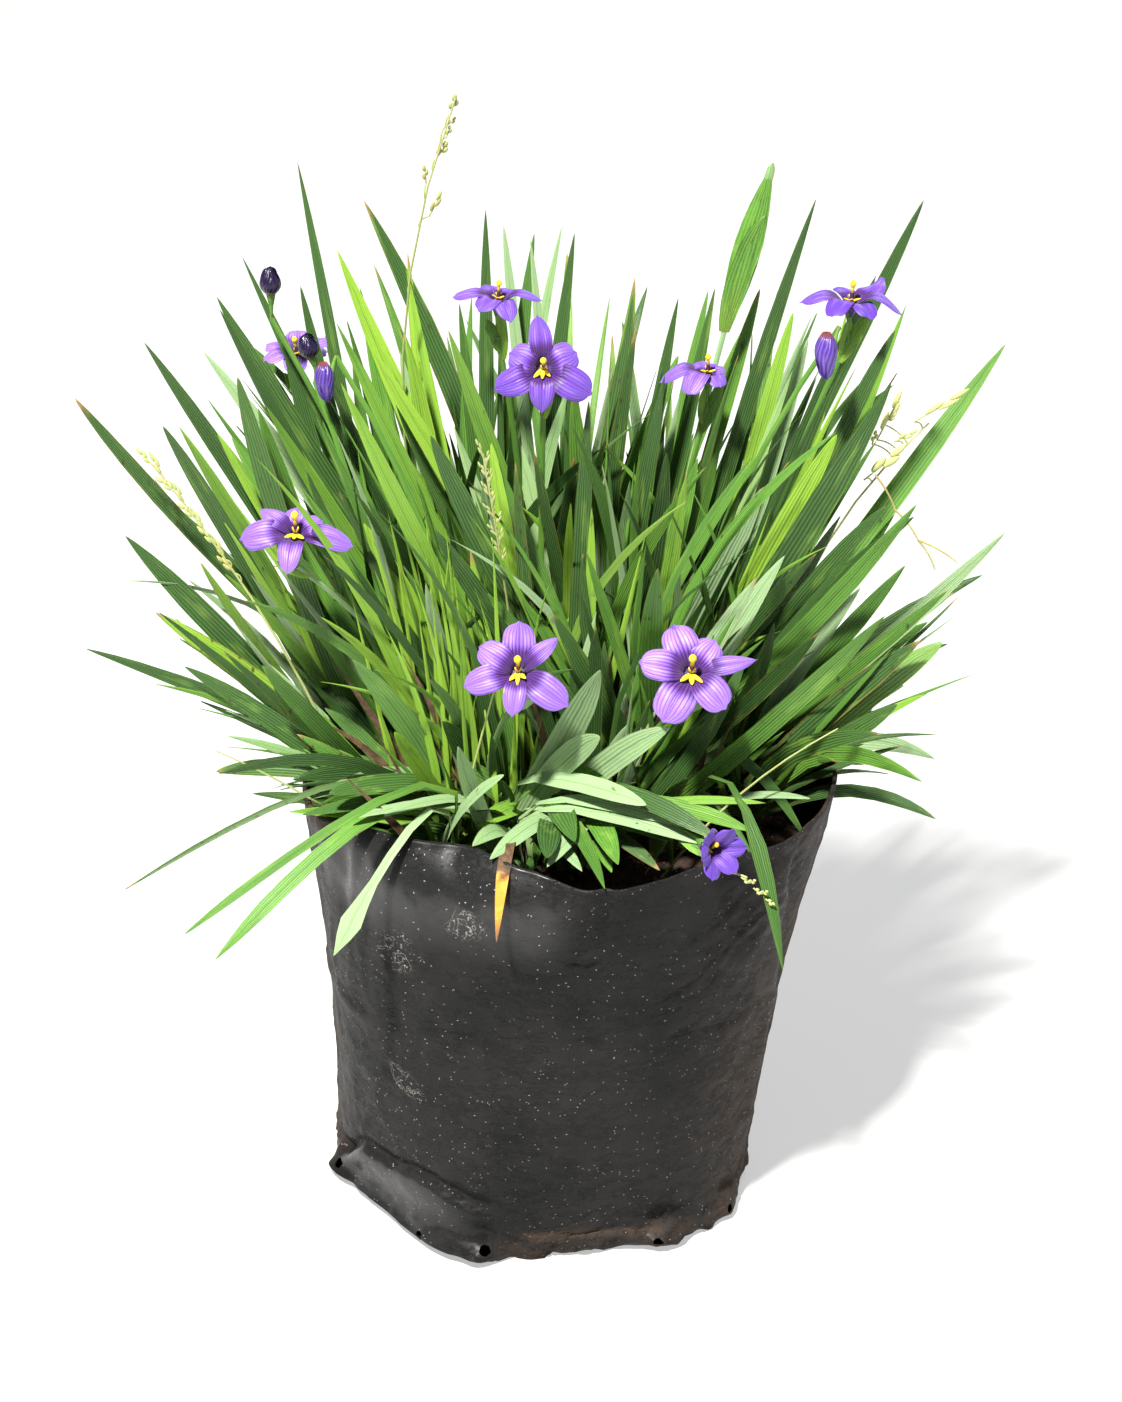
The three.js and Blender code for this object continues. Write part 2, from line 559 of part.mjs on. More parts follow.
// A flower's stem: flat and winged, two bracts at its end, then a thin stalk with the ovary
function growScape(fanIndex, end, bow, hasBract) {
  const node = fanName(fanIndex);
  for (let attempt = 0; attempt < 3 * TRIES; attempt += 1) {
    const draw = seeded(7000 + fanIndex * 64 + attempt);
    const loose = attempt === 0 ? 0 : 1.2 * attempt;
    const stem = stemLine(fanIndex, end, bow + loose * (draw() - 0.5), loose * (draw() - 0.5));
    const whole = stemSolid(stem);
    if (isClear(node, whole, bladeSolid(stem, 0.3))) {
      place(node, whole, whole);
      if (hasBract) {
        growBract(node, stem, end);
      }
      return true;
    }
  }
  return false;
}

// A bract at the end of the stem, as long as the flower above it leaves room for
function growBract(node, stem, end) {
  const { tangent } = lineAt(stem, 1);
  const { across } = sectionAt(stem, 1);
  for (const length of [BRACT_LENGTH, 0.75 * BRACT_LENGTH, 0.5 * BRACT_LENGTH]) {
    const root = end.clone().addScaledVector(tangent, -length / 3);
    const tip = root.clone().addScaledVector(tangent, length).addScaledVector(across, 3);
    const bract = bladeSolid({ ...stem, root, tip, bow: 0, sway: 0, width: 3.6 });
    if (isClear(node, bract, null)) {
      place(node, bract, null);
      return;
    }
  }
}

// A thin stalk starts a little inside the stem that bears it
function stalkLine(from, tip, bow) {
  const back = from.clone().sub(tip).normalize().multiplyScalar(STALK_SINK);
  const face = new THREE.Vector3(0.3, -1, 0.1);
  return { root: from.clone().add(back), tip, bow, sway: 0, face, twist: 0, width: 1 };
}

// A flower's thin stalk, which swells into the ovary under the tepals
function growPedicel(node, from, at, looks) {
  const widths = [1, 1.1, 2.9, 1.7];
  const tip = at.clone().addScaledVector(looks, -HUB_HEIGHT / 2 - STALK_GAP);
  const line = stalkLine(from, tip, 0.6);
  const post = new THREE.CylinderGeometry(1, 1, 1, 4, 3);
  const widthAt = (share) => widths[Math.round(share * 3)];
  place(node, sweptSolid(post, line, widthAt, widthAt), null);
}

function growFlower(flower, index) {
  const label = String(index + 1).padStart(2, '0');
  const at = new THREE.Vector3(...flower.at);
  const looks = new THREE.Vector3(...flower.looks).normalize();
  const turn = new THREE.Quaternion().setFromUnitVectors(UP, looks);
  const open = THREE.MathUtils.degToRad(flower.open);
  const length = TEPAL_LENGTH * flower.size;
  for (let petal = 0; petal < 6; petal += 1) {
    const angle = (petal * Math.PI) / 3 + index;
    const out = new THREE.Vector3(Math.cos(angle), Math.sin(angle), 0).applyQuaternion(turn);
    const inner = petal % 2;
    const rise = length * Math.sin(open + 0.16 * inner);
    const tip = at.clone().addScaledVector(out, length * Math.cos(open)).addScaledVector(looks, rise);
    const root = at.clone().addScaledVector(out, 0.7).addScaledVector(looks, -0.5 + 1.1 * inner);
    const width = TEPAL_WIDTH * flower.size * (inner ? 0.9 : 1);
    const tepal = { root, tip, bow: 0, sway: 0, face: looks, twist: 0, width };
    place(`petals_${label}`, tepalSolid(tepal));
  }
  const foot = at.clone().addScaledVector(looks, -HUB_HEIGHT / 2);
  const head = at.clone().addScaledVector(looks, HUB_HEIGHT / 2);
  place(`petals_${label}`, hubSolid(foot, head, 1.4, 2.2));
  growEye(`eye_${label}`, head.clone().addScaledVector(looks, FIT_GAP), looks, turn);
}

// A tepal: narrow where it joins the hub, broadest past its middle, with a fine point
function tepalSolid(tepal) {
  const widths = [0.22, 0.84, 0.94, 0];
  const cone = new THREE.ConeGeometry(1, 1, 3, 3);
  const width = (share) => widths[Math.round(share ** (1 / TEPAL_BUNCHING) * 3)] * tepal.width / 0.866;
  return sweptSolid(cone, tepal, width, () => TEPAL_THICKNESS, 0, TEPAL_BUNCHING);
}

function hubSolid(foot, head, below, above, sides = 6) {
  const geometry = new THREE.CylinderGeometry(above, below, foot.distanceTo(head), sides);
  const way = head.clone().sub(foot).normalize();
  geometry.applyQuaternion(new THREE.Quaternion().setFromUnitVectors(new THREE.Vector3(0, 1, 0), way));
  const middle = foot.clone().add(head).multiplyScalar(0.5);
  geometry.translate(middle.x, middle.y, middle.z);
  return solidOf(geometry);
}

// The yellow column of joined filaments, with three anthers at its top
function growEye(node, foot, looks, turn) {
  const head = foot.clone().addScaledVector(looks, EYE_HEIGHT * 0.7);
  place(node, hubSolid(foot, head, 1, 0.8, 4));
  for (let anther = 0; anther < 3; anther += 1) {
    const angle = (anther * Math.PI * 2) / 3;
    const out = new THREE.Vector3(Math.cos(angle), Math.sin(angle), 0).applyQuaternion(turn);
    const tip = foot.clone().addScaledVector(looks, EYE_HEIGHT).addScaledVector(out, 1.5);
    const root = head.clone().addScaledVector(looks, -0.8);
    place(node, podSolid(root, tip, 1.2, 3, 0.5, 2));
  }
}

// Where a flower's thin stalk leaves the stem: behind and below the flower
function neckOf(flower, at, looks) {
  if (flower.neck) {
    return at.clone().add(new THREE.Vector3(...flower.neck));
  }
  const neck = at.clone().addScaledVector(looks, -PEDICEL_LENGTH * 0.45);
  neck.z -= PEDICEL_LENGTH * 0.7;
  return neck;
}

function growFlowerStem(flower) {
  const at = new THREE.Vector3(...flower.at);
  const looks = new THREE.Vector3(...flower.looks).normalize();
  const neck = neckOf(flower, at, looks);
  growScape(flower.fan, neck, flower.bow, true);
  growPedicel(fanName(flower.fan), neck, at, looks);
}

function growBud(bud, index) {
  const at = new THREE.Vector3(...bud.at);
  const points = new THREE.Vector3(...bud.points).normalize();
  const foot = at.clone().addScaledVector(points, -bud.length / 2);
  const head = at.clone().addScaledVector(points, bud.length / 2);
  place(`bud_${String(index + 1).padStart(2, '0')}`, podSolid(foot, head, bud.width, 6, 0.6));
}

function growBudStem(bud) {
  const at = new THREE.Vector3(...bud.at);
  const points = new THREE.Vector3(...bud.points).normalize();
  const foot = at.clone().addScaledVector(points, -bud.length / 2 - FIT_GAP);
  const end = foot.clone().addScaledVector(points, -4);
  if (points.z < 0) {
    end.addScaledVector(new THREE.Vector3(0.4, 0.6, 0.3), 5);
  } else {
    end.z -= 3;
  }
  growScape(bud.fan, end, bud.bow, false);
  place(fanName(bud.fan), stemSolid(stalkLine(end, foot, 0.8), 2, STALK_WIDTH, STALK_WIDTH));
}

function growSpathe() {
  const top = new THREE.Vector3(...SPATHE.at);
  const stem = stemLine(SPATHE.fan, top, SPATHE.bow);
  const from = 1 - SPATHE.length / top.distanceTo(stem.root);
  const geometry = new THREE.ConeGeometry(1, 1, 4, 4);
  const swellAt = (share) => Math.min(0.98, 0.12 + (share - from) / (1 - from));
  const widthAt = (share) => SPATHE.width * Math.sin(Math.PI * swellAt(share));
  const pod = sweptSolid(geometry, stem, widthAt, () => SPATHE.thickness, from);
  const line = { ...stem, tip: lineAt(stem, from + 0.04).spot, bow: SPATHE.bow * 0.6 };
  place(fanName(SPATHE.fan), pod);
  place(fanName(SPATHE.fan), stemSolid(line));
}

// A grass stalk with spikelets on short branches, alternately to either side
function growGrass(grass, index) {
  const node = `grass_head_${index + 1}`;
  const root = new THREE.Vector3(grass.foot[0], grass.foot[1], ROOT_LEVEL);
  const top = new THREE.Vector3(...grass.top);
  const face = new THREE.Vector3(0, -1, 0.2);
  for (let attempt = 0; attempt < 3 * TRIES; attempt += 1) {
    const draw = seeded(8000 + index * 64 + attempt);
    const loose = 1.5 * attempt;
    const bend = { bow: grass.bow + loose * (draw() - 0.5), sway: loose * (draw() - 0.5) };
    const stalk = { root, tip: top, ...bend, face, twist: 0, width: 1.5 };
    const whole = stemSolid(stalk, 6, 1.7, 1.5);
    if (isClear(node, whole, bladeSolid(stalk, 0.2))) {
      place(node, whole);
      growSpikelets(node, stalk, grass, draw);
      return;
    }
  }
}

function growSpikelets(node, stalk, grass, draw) {
  for (let step = 0; step < grass.spikelets; step += 1) {
    const share = 1 - grass.bears * (step / grass.spikelets);
    const { spot, across } = sectionAt(stalk, share);
    const { tangent } = lineAt(stalk, share);
    const side = step % 2 ? 1 : -1;
    const lean = side * (0.35 + 0.5 * draw()) * (step === 0 ? 0.3 : 1);
    const way = tangent.clone().addScaledVector(across, lean).normalize();
    const start = spot.clone().addScaledVector(tangent, -1.2);
    const tip = spot.clone().addScaledVector(way, (8.5 + 3 * draw()) * grass.size);
    const shape = { face: new THREE.Vector3(0, -1, 0.2), twist: 0, bow: 0, sway: 0 };
    const grain = grainSolid({ root: start, tip, ...shape }, 2.9 * grass.size);
    if (isClear(node, grain, null)) {
      place(node, grain, null);
    }
  }
}

// A spikelet: thin where it joins the stalk, then swelling and pointed
function grainSolid(line, width) {
  const widths = [0.36, 1, 0];
  const cone = new THREE.ConeGeometry(1, 1, 3, 2);
  const widthAt = (share) => width * widths[Math.round(share * 2)];
  return sweptSolid(cone, line, widthAt, widthAt);
}

function growDeadLeaf() {
  const [x, y] = DEAD_LEAF.foot;
  const root = new THREE.Vector3(x, y, ROOT_LEVEL);
  const tip = new THREE.Vector3(...DEAD_LEAF.tip);
  const face = new THREE.Vector3(0.2, -0.4, 1);
  const leaf = { root, tip, bow: DEAD_LEAF.bow, sway: 0, face, twist: 0.2, width: DEAD_LEAF.width };
  const cone = new THREE.ConeGeometry(1, 1, 3, 6);
  const width = (share) => bladeWidth(leaf, share);
  place('dead_leaf', sweptSolid(cone, leaf, width, () => BLADE_THICKNESS * RIDGE_THICKER));
}

// One closed body from a node's fused pieces: sealed hollows are filled and loose scraps dropped
function fused(solids) {
  const shells = wasm.Manifold.union(solids).decompose();
  const largest = shells.reduce((best, shell) => (shell.volume() > best.volume() ? shell : best));
  return largest.asOriginal().simplify(FINEST);
}

function meshOf(name, solid, colour, roughness = 0.55) {
  const { vertProperties, triVerts } = solid.getMesh();
  const geometry = new THREE.BufferGeometry();
  geometry.setAttribute('position', new THREE.BufferAttribute(vertProperties, 3));
  geometry.setIndex(new THREE.BufferAttribute(triVerts, 1));
  geometry.computeVertexNormals();
  const material = new THREE.MeshStandardMaterial({ color: colour, roughness, metalness: 0 });
  const mesh = new THREE.Mesh(geometry, material);
  mesh.name = name;
  return mesh;
}

const colours = {
  leaf_fan: LEAF_GREEN,
  petals: TEPAL_VIOLET,
  eye: EYE_YELLOW,
  bud: BUD_PURPLE,
  grass_head: PALE_GREEN,
  dead_leaf: DEAD_BROWN,
};

function colourOf(name) {
  const kind = Object.keys(colours).find((start) => name.startsWith(start));
  return colours[kind];
}

const bag = bagSolid();
placed.push({ node: 'bag', whole: bag, outer: bag, box: bag.boundingBox() });

const holes = [];
fans.forEach((fan, index) => {
  place(fanName(index), crownSolid(fan.at, fan.faces), null);
  holes.push(crownSolid(fan.at, fan.faces, FIT_GAP));
});
GRASSES.forEach((grass, index) => {
  place(`grass_head_${index + 1}`, crownSolid(grass.foot, 0, 0, PEG_SIZE), null);
  holes.push(crownSolid(grass.foot, 0, FIT_GAP, PEG_SIZE));
});
place('dead_leaf', crownSolid(DEAD_LEAF.foot, 0, 0, PEG_SIZE), null);
holes.push(crownSolid(DEAD_LEAF.foot, 0, FIT_GAP, PEG_SIZE));

const soil = soilSolid(holes);
placed.push({ node: 'soil', whole: soil, outer: soil, box: soil.boundingBox() });

FLOWERS.forEach(growFlower);
BUDS.forEach(growBud);
growSpathe();
growDeadLeaf();
fans.forEach((fan, index) => growFan(index, 'outer'));
FLOWERS.forEach(growFlowerStem);
BUDS.forEach(growBudStem);
GRASSES.forEach(growGrass);
fans.forEach((fan, index) => growFan(index, 'fill'));

const plant = new THREE.Group();
plant.add(meshOf('bag', bag, FILM_BLACK, 0.35));
plant.add(meshOf('soil', soil, SOIL_BROWN, 0.95));
for (const [name, solids] of bodies) {
  plant.add(meshOf(name, fused(solids), colourOf(name)));
}

export default plant;
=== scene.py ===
# %% [markdown]
# # A potted blue-eyed grass
# A clump of blue-eyed grass stands in a black grow bag. It has stiff green leaves in flat
# fans, violet six-parted flowers with a yellow middle, a few grass heads and one dead leaf.
# The solids of the clump are loaded first. Everything below is laid on the same lines as
# they are, so each finer piece stands where its solid stands.

import math

import bpy
import numpy as np
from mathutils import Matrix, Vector, kdtree, noise


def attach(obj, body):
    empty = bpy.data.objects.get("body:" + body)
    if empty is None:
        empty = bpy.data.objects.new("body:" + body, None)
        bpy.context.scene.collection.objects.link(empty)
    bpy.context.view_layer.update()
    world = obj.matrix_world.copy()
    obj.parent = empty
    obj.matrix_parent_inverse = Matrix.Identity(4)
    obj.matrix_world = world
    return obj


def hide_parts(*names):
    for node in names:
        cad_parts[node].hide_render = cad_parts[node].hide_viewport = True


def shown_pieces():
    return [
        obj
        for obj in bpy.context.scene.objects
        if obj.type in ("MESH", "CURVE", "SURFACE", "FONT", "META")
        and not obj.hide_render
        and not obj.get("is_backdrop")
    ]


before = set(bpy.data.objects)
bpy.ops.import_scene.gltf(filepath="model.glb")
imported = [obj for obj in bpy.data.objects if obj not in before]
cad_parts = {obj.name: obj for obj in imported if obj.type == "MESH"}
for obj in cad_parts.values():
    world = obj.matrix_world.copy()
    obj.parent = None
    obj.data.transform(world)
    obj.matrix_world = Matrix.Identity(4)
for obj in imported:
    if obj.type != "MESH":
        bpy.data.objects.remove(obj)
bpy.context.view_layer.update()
MM = 0.001
print("solids:", len(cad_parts))

# %% [markdown]
# ## The camera
# The photograph looks down on the clump by about 26 degrees, from a metre away. The lens is
# long, so the bag's sides stay nearly straight. The camera comes first, because every
# piece is judged through it.

# %% Camera
EYE = Vector((0.0, -0.8988, 0.5932))
AIM = Vector((0.0, 0.0, 0.1548))
bpy.ops.object.select_all(action="DESELECT")
bpy.ops.object.camera_add(location=EYE, rotation=(AIM - EYE).to_track_quat("-Z", "Y").to_euler())
camera = bpy.context.object
camera.name = "photo_camera"
camera.data.sensor_width = 36.0
camera.data.lens = 86.8
bpy.context.scene.camera = camera
print("camera distance in mm:", round((AIM - EYE).length / MM))

# %% [markdown]
# ## Materials as sums
# A finish on a plant is many small influences: veins, age, dust. Written as nodes by hand
# they are hard to read. A wire below stands for one output of a node, and adding or
# multiplying wires adds the nodes. Every other node comes from one method.

# %% Wires
class Wire:
    """An output of a node, with which a finish is worked out as a sum."""

    def __init__(self, finish, socket):
        self.finish = finish
        self.socket = socket

    def math(self, operation, *values):
        return self.finish.node("ShaderNodeMath", {"operation": operation}, dict(enumerate(values)))

    def __add__(self, other):
        return self.math("ADD", self, other)

    def __sub__(self, other):
        return self.math("SUBTRACT", self, other)

    def __rsub__(self, other):
        return self.math("SUBTRACT", other, self)

    def __mul__(self, other):
        return self.math("MULTIPLY", self, other)

    def __abs__(self):
        return self.math("ABSOLUTE", self)

    def stripes(self):
        """Soft stripes from 0 to 1, one for every 6.28 of the value."""
        return self.math("SINE", self) * 0.5 + 0.5

    __radd__ = __add__
    __rmul__ = __mul__

    def between(self, low, high):
        """0 below low and 1 above high, with a soft step. low may be the larger one."""
        sockets = {"Value": self, "From Min": low, "From Max": high}
        return self.finish.node("ShaderNodeMapRange", {"interpolation_type": "SMOOTHSTEP"}, sockets)


# %% Finishes
class Finish:
    """A material. Plain values go on the shader's own sockets, wires are linked to them."""

    def __init__(self, name, **plain):
        self.material = bpy.data.materials.new(name)
        self.material.use_nodes = True
        self.tree = self.material.node_tree
        self.shader = next(n for n in self.tree.nodes if n.type == "BSDF_PRINCIPLED")
        for socket, value in plain.items():
            self.shader.inputs[socket.replace("_", " ")].default_value = value

    def node(self, kind, settings=None, sockets=None, out=0):
        node = self.tree.nodes.new(kind)
        for name, value in (settings or {}).items():
            setattr(node, name, value)
        for key, value in (sockets or {}).items():
            if isinstance(value, Wire):
                self.tree.links.new(value.socket, node.inputs[key])
            else:
                node.inputs[key].default_value = value
        return Wire(self, node.outputs[out])

    def place(self):
        return self.node("ShaderNodeTexCoord", out="Object")

    def parts(self, vector):
        return [self.node("ShaderNodeSeparateXYZ", {}, {0: vector}, axis) for axis in range(3)]

    def stretched(self, vector, scale, turn=(0.0, 0.0, 0.0)):
        return self.node("ShaderNodeMapping", {}, {"Vector": vector, "Scale": scale, "Rotation": turn})

    def noise(self, vector, scale, detail=3.0, roughness=0.55):
        sockets = {"Vector": vector, "Scale": scale, "Detail": detail, "Roughness": roughness}
        return self.node("ShaderNodeTexNoise", {}, sockets)

    def mix(self, share, first, second):
        """A colour that goes from the first to the second as share goes from 0 to 1."""
        return self.node("ShaderNodeMix", {"data_type": "RGBA"}, {0: share, 6: first, 7: second}, 2)

    def along(self):
        """u across and v along each copy of a shape, from its UV map."""
        return self.parts(self.node("ShaderNodeTexCoord", out="UV"))[:2]

    def tint(self):
        """The three numbers that each copy of a shape carries: hue, age and chance."""
        colour = self.node("ShaderNodeAttribute", {"attribute_name": "tint"}, {}, "Color")
        return [self.node("ShaderNodeSeparateColor", {}, {0: colour}, part) for part in range(3)]

    def bump(self, height, strength, distance):
        sockets = {"Height": height, "Strength": strength, "Distance": distance}
        return self.node("ShaderNodeBump", {}, sockets)

    def link(self, **wires):
        for socket, wire in wires.items():
            self.tree.links.new(wire.socket, self.shader.inputs[socket.replace("_", " ")])


def rgb(red, green, blue):
    return (red, green, blue, 1.0)


# %% [markdown]
# ## Helpers for pieces
# Operators act on whatever is selected, and the loaded solids are selected at first. So
# each step starts by selecting only what it needs. A finished piece gets its material and
# its body, and the solids that it stands for are hidden.

# %% Selecting and joining
def only(*pieces):
    bpy.ops.object.select_all(action="DESELECT")
    for piece in pieces:
        piece.select_set(True)
    bpy.context.view_layer.objects.active = pieces[0]


def named(name):
    piece = bpy.context.object
    piece.name = name
    piece.data.name = name
    return piece


def spots_of(piece):
    spots = np.empty(len(piece.data.vertices) * 3)
    piece.data.vertices.foreach_get("co", spots)
    return spots.reshape(-1, 3)


def move_spots(piece, spots):
    piece.data.vertices.foreach_set("co", np.asarray(spots, float).ravel())
    piece.data.update()


def joined(pieces, name):
    only(*pieces)
    if len(pieces) > 1:
        bpy.ops.object.join()
    return named(name)


# %% Copying and finishing
def copy_of(master):
    piece = master.copy()
    piece.data = master.data.copy()
    bpy.context.collection.objects.link(piece)
    return piece


def tidy_faces(piece, gap=1e-6):
    """Merges doubles and turns every face outwards."""
    only(piece)
    bpy.ops.object.mode_set(mode="EDIT")
    bpy.ops.mesh.select_all(action="SELECT")
    bpy.ops.mesh.remove_doubles(threshold=gap)
    bpy.ops.mesh.normals_make_consistent(inside=False)
    bpy.ops.object.mode_set(mode="OBJECT")


def finished(piece, finish, nodes=(), angle=50):
    piece.data.materials.clear()
    piece.data.materials.append(finish.material)
    only(piece)
    bpy.ops.object.shade_smooth_by_angle(angle=math.radians(angle))
    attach(piece, "root")
    if nodes:
        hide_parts(*nodes)
    return piece


# %% [markdown]
# ## Chance that repeats
# The leaves of the solids were scattered by a small seeded draw. The same draw is used
# here, so the finer leaves land on the same lines, and every run gives the same plant.

# %% Seeded draw
WORD = 0xFFFFFFFF


def seeded(seed):
    state = seed & WORD

    def draw():
        nonlocal state
        state = (state + 0x6D2B79F5) & WORD
        mixed = ((state ^ (state >> 15)) * (state | 1)) & WORD
        mixed ^= (mixed + (mixed ^ (mixed >> 7)) * (mixed | 61)) & WORD
        return ((mixed ^ (mixed >> 14)) & WORD) / 4294967296

    return draw


print("first draw of seed 1:", round(seeded(1)(), 4))

# %% [markdown]
# ## The centre line
# A leaf, a stem and a petal are all laid on one kind of line: straight from root to tip,
# with a bow upwards and a sway to a side. A flat shape also needs a face direction, which
# may twist on the way. Lengths are in millimetres until a piece is laid.

# %% Lines
UP = np.array((0.0, 0.0, 1.0))


def unit(vector):
    vector = np.asarray(vector, float)
    return vector / np.linalg.norm(vector)


class Line:
    """A bowed line from root to tip, with a face direction and a width for what lies on it."""

    def __init__(self, root, tip, bow=0.0, sway=0.0, face=(0, -1, 0.25), twist=0.0, early=1.0, width=5.0):
        self.root, self.tip = np.array(root, float), np.array(tip, float)
        self.bow, self.sway, self.early = bow, sway, early
        self.face, self.twist, self.width = unit(face), twist, width

    def at(self, shares):
        """Spots, tangents and face directions at shares of the way from root to tip."""
        share = np.asarray(shares, float).reshape(-1, 1)
        chord = self.tip - self.root
        along = unit(chord)
        lift = UP - along * along[2]
        lift /= max(np.linalg.norm(lift), 1e-9)
        side = np.cross(along, lift)
        eased = np.maximum(share, 0) ** self.early
        slope = 4 * (1 - 2 * eased) * self.early * np.maximum(share, 0.02) ** (self.early - 1)
        curve = lift * self.bow + side * self.sway
        spot = self.root + chord * share + curve * 4 * eased * (1 - eased)
        tangent = chord + curve * slope
        tangent /= np.linalg.norm(tangent, axis=1, keepdims=True)
        face = self.face - tangent * (tangent @ self.face)[:, None]
        face /= np.linalg.norm(face, axis=1, keepdims=True)
        turn = self.twist * share
        return spot, tangent, face * np.cos(turn) + np.cross(tangent, face) * np.sin(turn)


def lay(piece, line, width, thickness, relief=None, start=0.0, end=1.0):
    """Lays a shape made along Z, 1 long and 1 wide, on a line. Width and thickness are in mm."""
    across, deep, up = spots_of(piece).T
    share = start + (end - start) * up
    spot, tangent, face = line.at(share)
    wide = width(share) if callable(width) else width
    thick = thickness(share) if callable(thickness) else thickness
    out = deep * thick
    if relief is not None:
        out = out + relief(across, share)
    side = np.cross(face, tangent)
    move_spots(piece, (spot + side * (across * wide)[:, None] + face * out[:, None]) * MM)
    return piece


# %% [markdown]
# ## Shapes that repeat
# A leaf blade, a thin stalk and a pod each begin as a circle. It is extruded and resized
# from ring to ring and closed at its end. Each is made once, 1 long along Z, with a UV
# map: u runs across and v along, so veins follow the shape wherever it is laid.

# %% Extruded shapes
def extruded(name, sides, rings):
    """A closed post from rings of (height, width, thickness); a width of 0 ends in a point."""
    bpy.ops.object.select_all(action="DESELECT")
    turn = (0, 0, math.pi / sides)
    bpy.ops.mesh.primitive_circle_add(vertices=sides, radius=0.5, fill_type="NGON", rotation=turn)
    bpy.ops.object.transform_apply()
    piece = named(name)
    bpy.ops.object.mode_set(mode="EDIT")
    bpy.ops.mesh.select_all(action="SELECT")
    height, wide, thick = rings[0]
    bpy.ops.transform.resize(value=(wide, thick, 1))
    bpy.ops.transform.translate(value=(0, 0, height))
    for above, wider, thicker in rings[1:]:
        rise = {"value": (0, 0, above - height)}
        bpy.ops.mesh.extrude_region_move(TRANSFORM_OT_translate=rise)
        if wider == 0:
            bpy.ops.mesh.merge(type="CENTER")
        else:
            bpy.ops.transform.resize(value=(wider / wide, thicker / thick, 1))
            height, wide, thick = above, wider, thicker
    bpy.ops.object.mode_set(mode="OBJECT")
    tidy_faces(piece)
    mark_shape(piece)
    return piece


def mark_shape(piece):
    """Adds the UV map across and along the shape, and the tint that copies carry."""
    spots = spots_of(piece)
    across, along = spots[:, 0], spots[:, 2]
    levels = np.round(along, 4)
    reach = {level: max(np.abs(across[levels == level]).max(), 1e-6) for level in np.unique(levels)}
    share = np.array([0.5 + 0.5 * x / reach[z] for x, z in zip(across, levels)])
    sheet = piece.data.uv_layers.new(name="UVMap") if not piece.data.uv_layers else piece.data.uv_layers[0]
    corners = np.empty(len(piece.data.loops), int)
    piece.data.loops.foreach_get("vertex_index", corners)
    sheet.data.foreach_set("uv", np.stack([share[corners], along[corners]], 1).ravel())
    piece.data.attributes.new("tint", "FLOAT_COLOR", "POINT")


def give_tint(piece, hue, age, chance):
    colours = np.tile((hue, age, chance, 1.0), len(piece.data.vertices))
    piece.data.attributes["tint"].data.foreach_set("color", colours)
    return piece


# %% [markdown]
# ## The five shapes
# The three leaves differ in where they begin to close and how round their end is. The
# stalk is even along its length, and the pod swells like a grain.

# %% Shapes
def leaf_rings(closes, bend):
    """Rings of a leaf that is broad until it closes, and is then rounded into its tip."""
    rings = []
    for share in (0.0, 0.1, 0.24, 0.4, 0.55, 0.68, 0.78, 0.86, 0.92, 0.965, 0.99):
        opening = min(1, (share / 0.35) ** 0.8)
        closing = (1 - max(0, (share - closes) / (1 - closes)) ** 1.8) ** bend
        rings.append((share, (0.45 + 0.55 * opening) * closing, 1 - 0.5 * share))
    return [*rings, (1.0, 0, 0)]


blade_shape = extruded("blade_shape", 6, leaf_rings(0.7, 0.8))
blunt_shape = extruded("blunt_shape", 6, leaf_rings(0.77, 0.66))
needle_shape = extruded("needle_shape", 6, leaf_rings(0.4, 1.0))
stalk_shape = extruded("stalk_shape", 8, [(step / 8, 1, 1) for step in range(9)])
POD_SHARES = (0.03, 0.12, 0.28, 0.46, 0.63, 0.78, 0.9, 0.97)
pod_rings = [(share, math.sin(math.pi * share ** 0.85) ** 0.62) for share in POD_SHARES]
pod_shape = extruded("pod_shape", 10, [*((share, wide, wide) for share, wide in pod_rings), (1.0, 0, 0)])
for shape in (blade_shape, blunt_shape, needle_shape, stalk_shape, pod_shape):
    print(shape.name, "faces:", len(shape.data.polygons))

# %% [markdown]
# ## The fans of leaves
# Blue-eyed grass grows like a tiny iris: each shoot is a flat fan of stiff blades that stand
# edge to edge. A particle system would scatter blades evenly and lose the fans. So every
# fan has a place, a direction, its main blades by their tips, and a rule that fills in the
# blades between them. A row gives: place, facing in degrees, blades filled in, how far the
# faces lie back, how early the bow comes, and the main blades as x, y, z, width and bow.

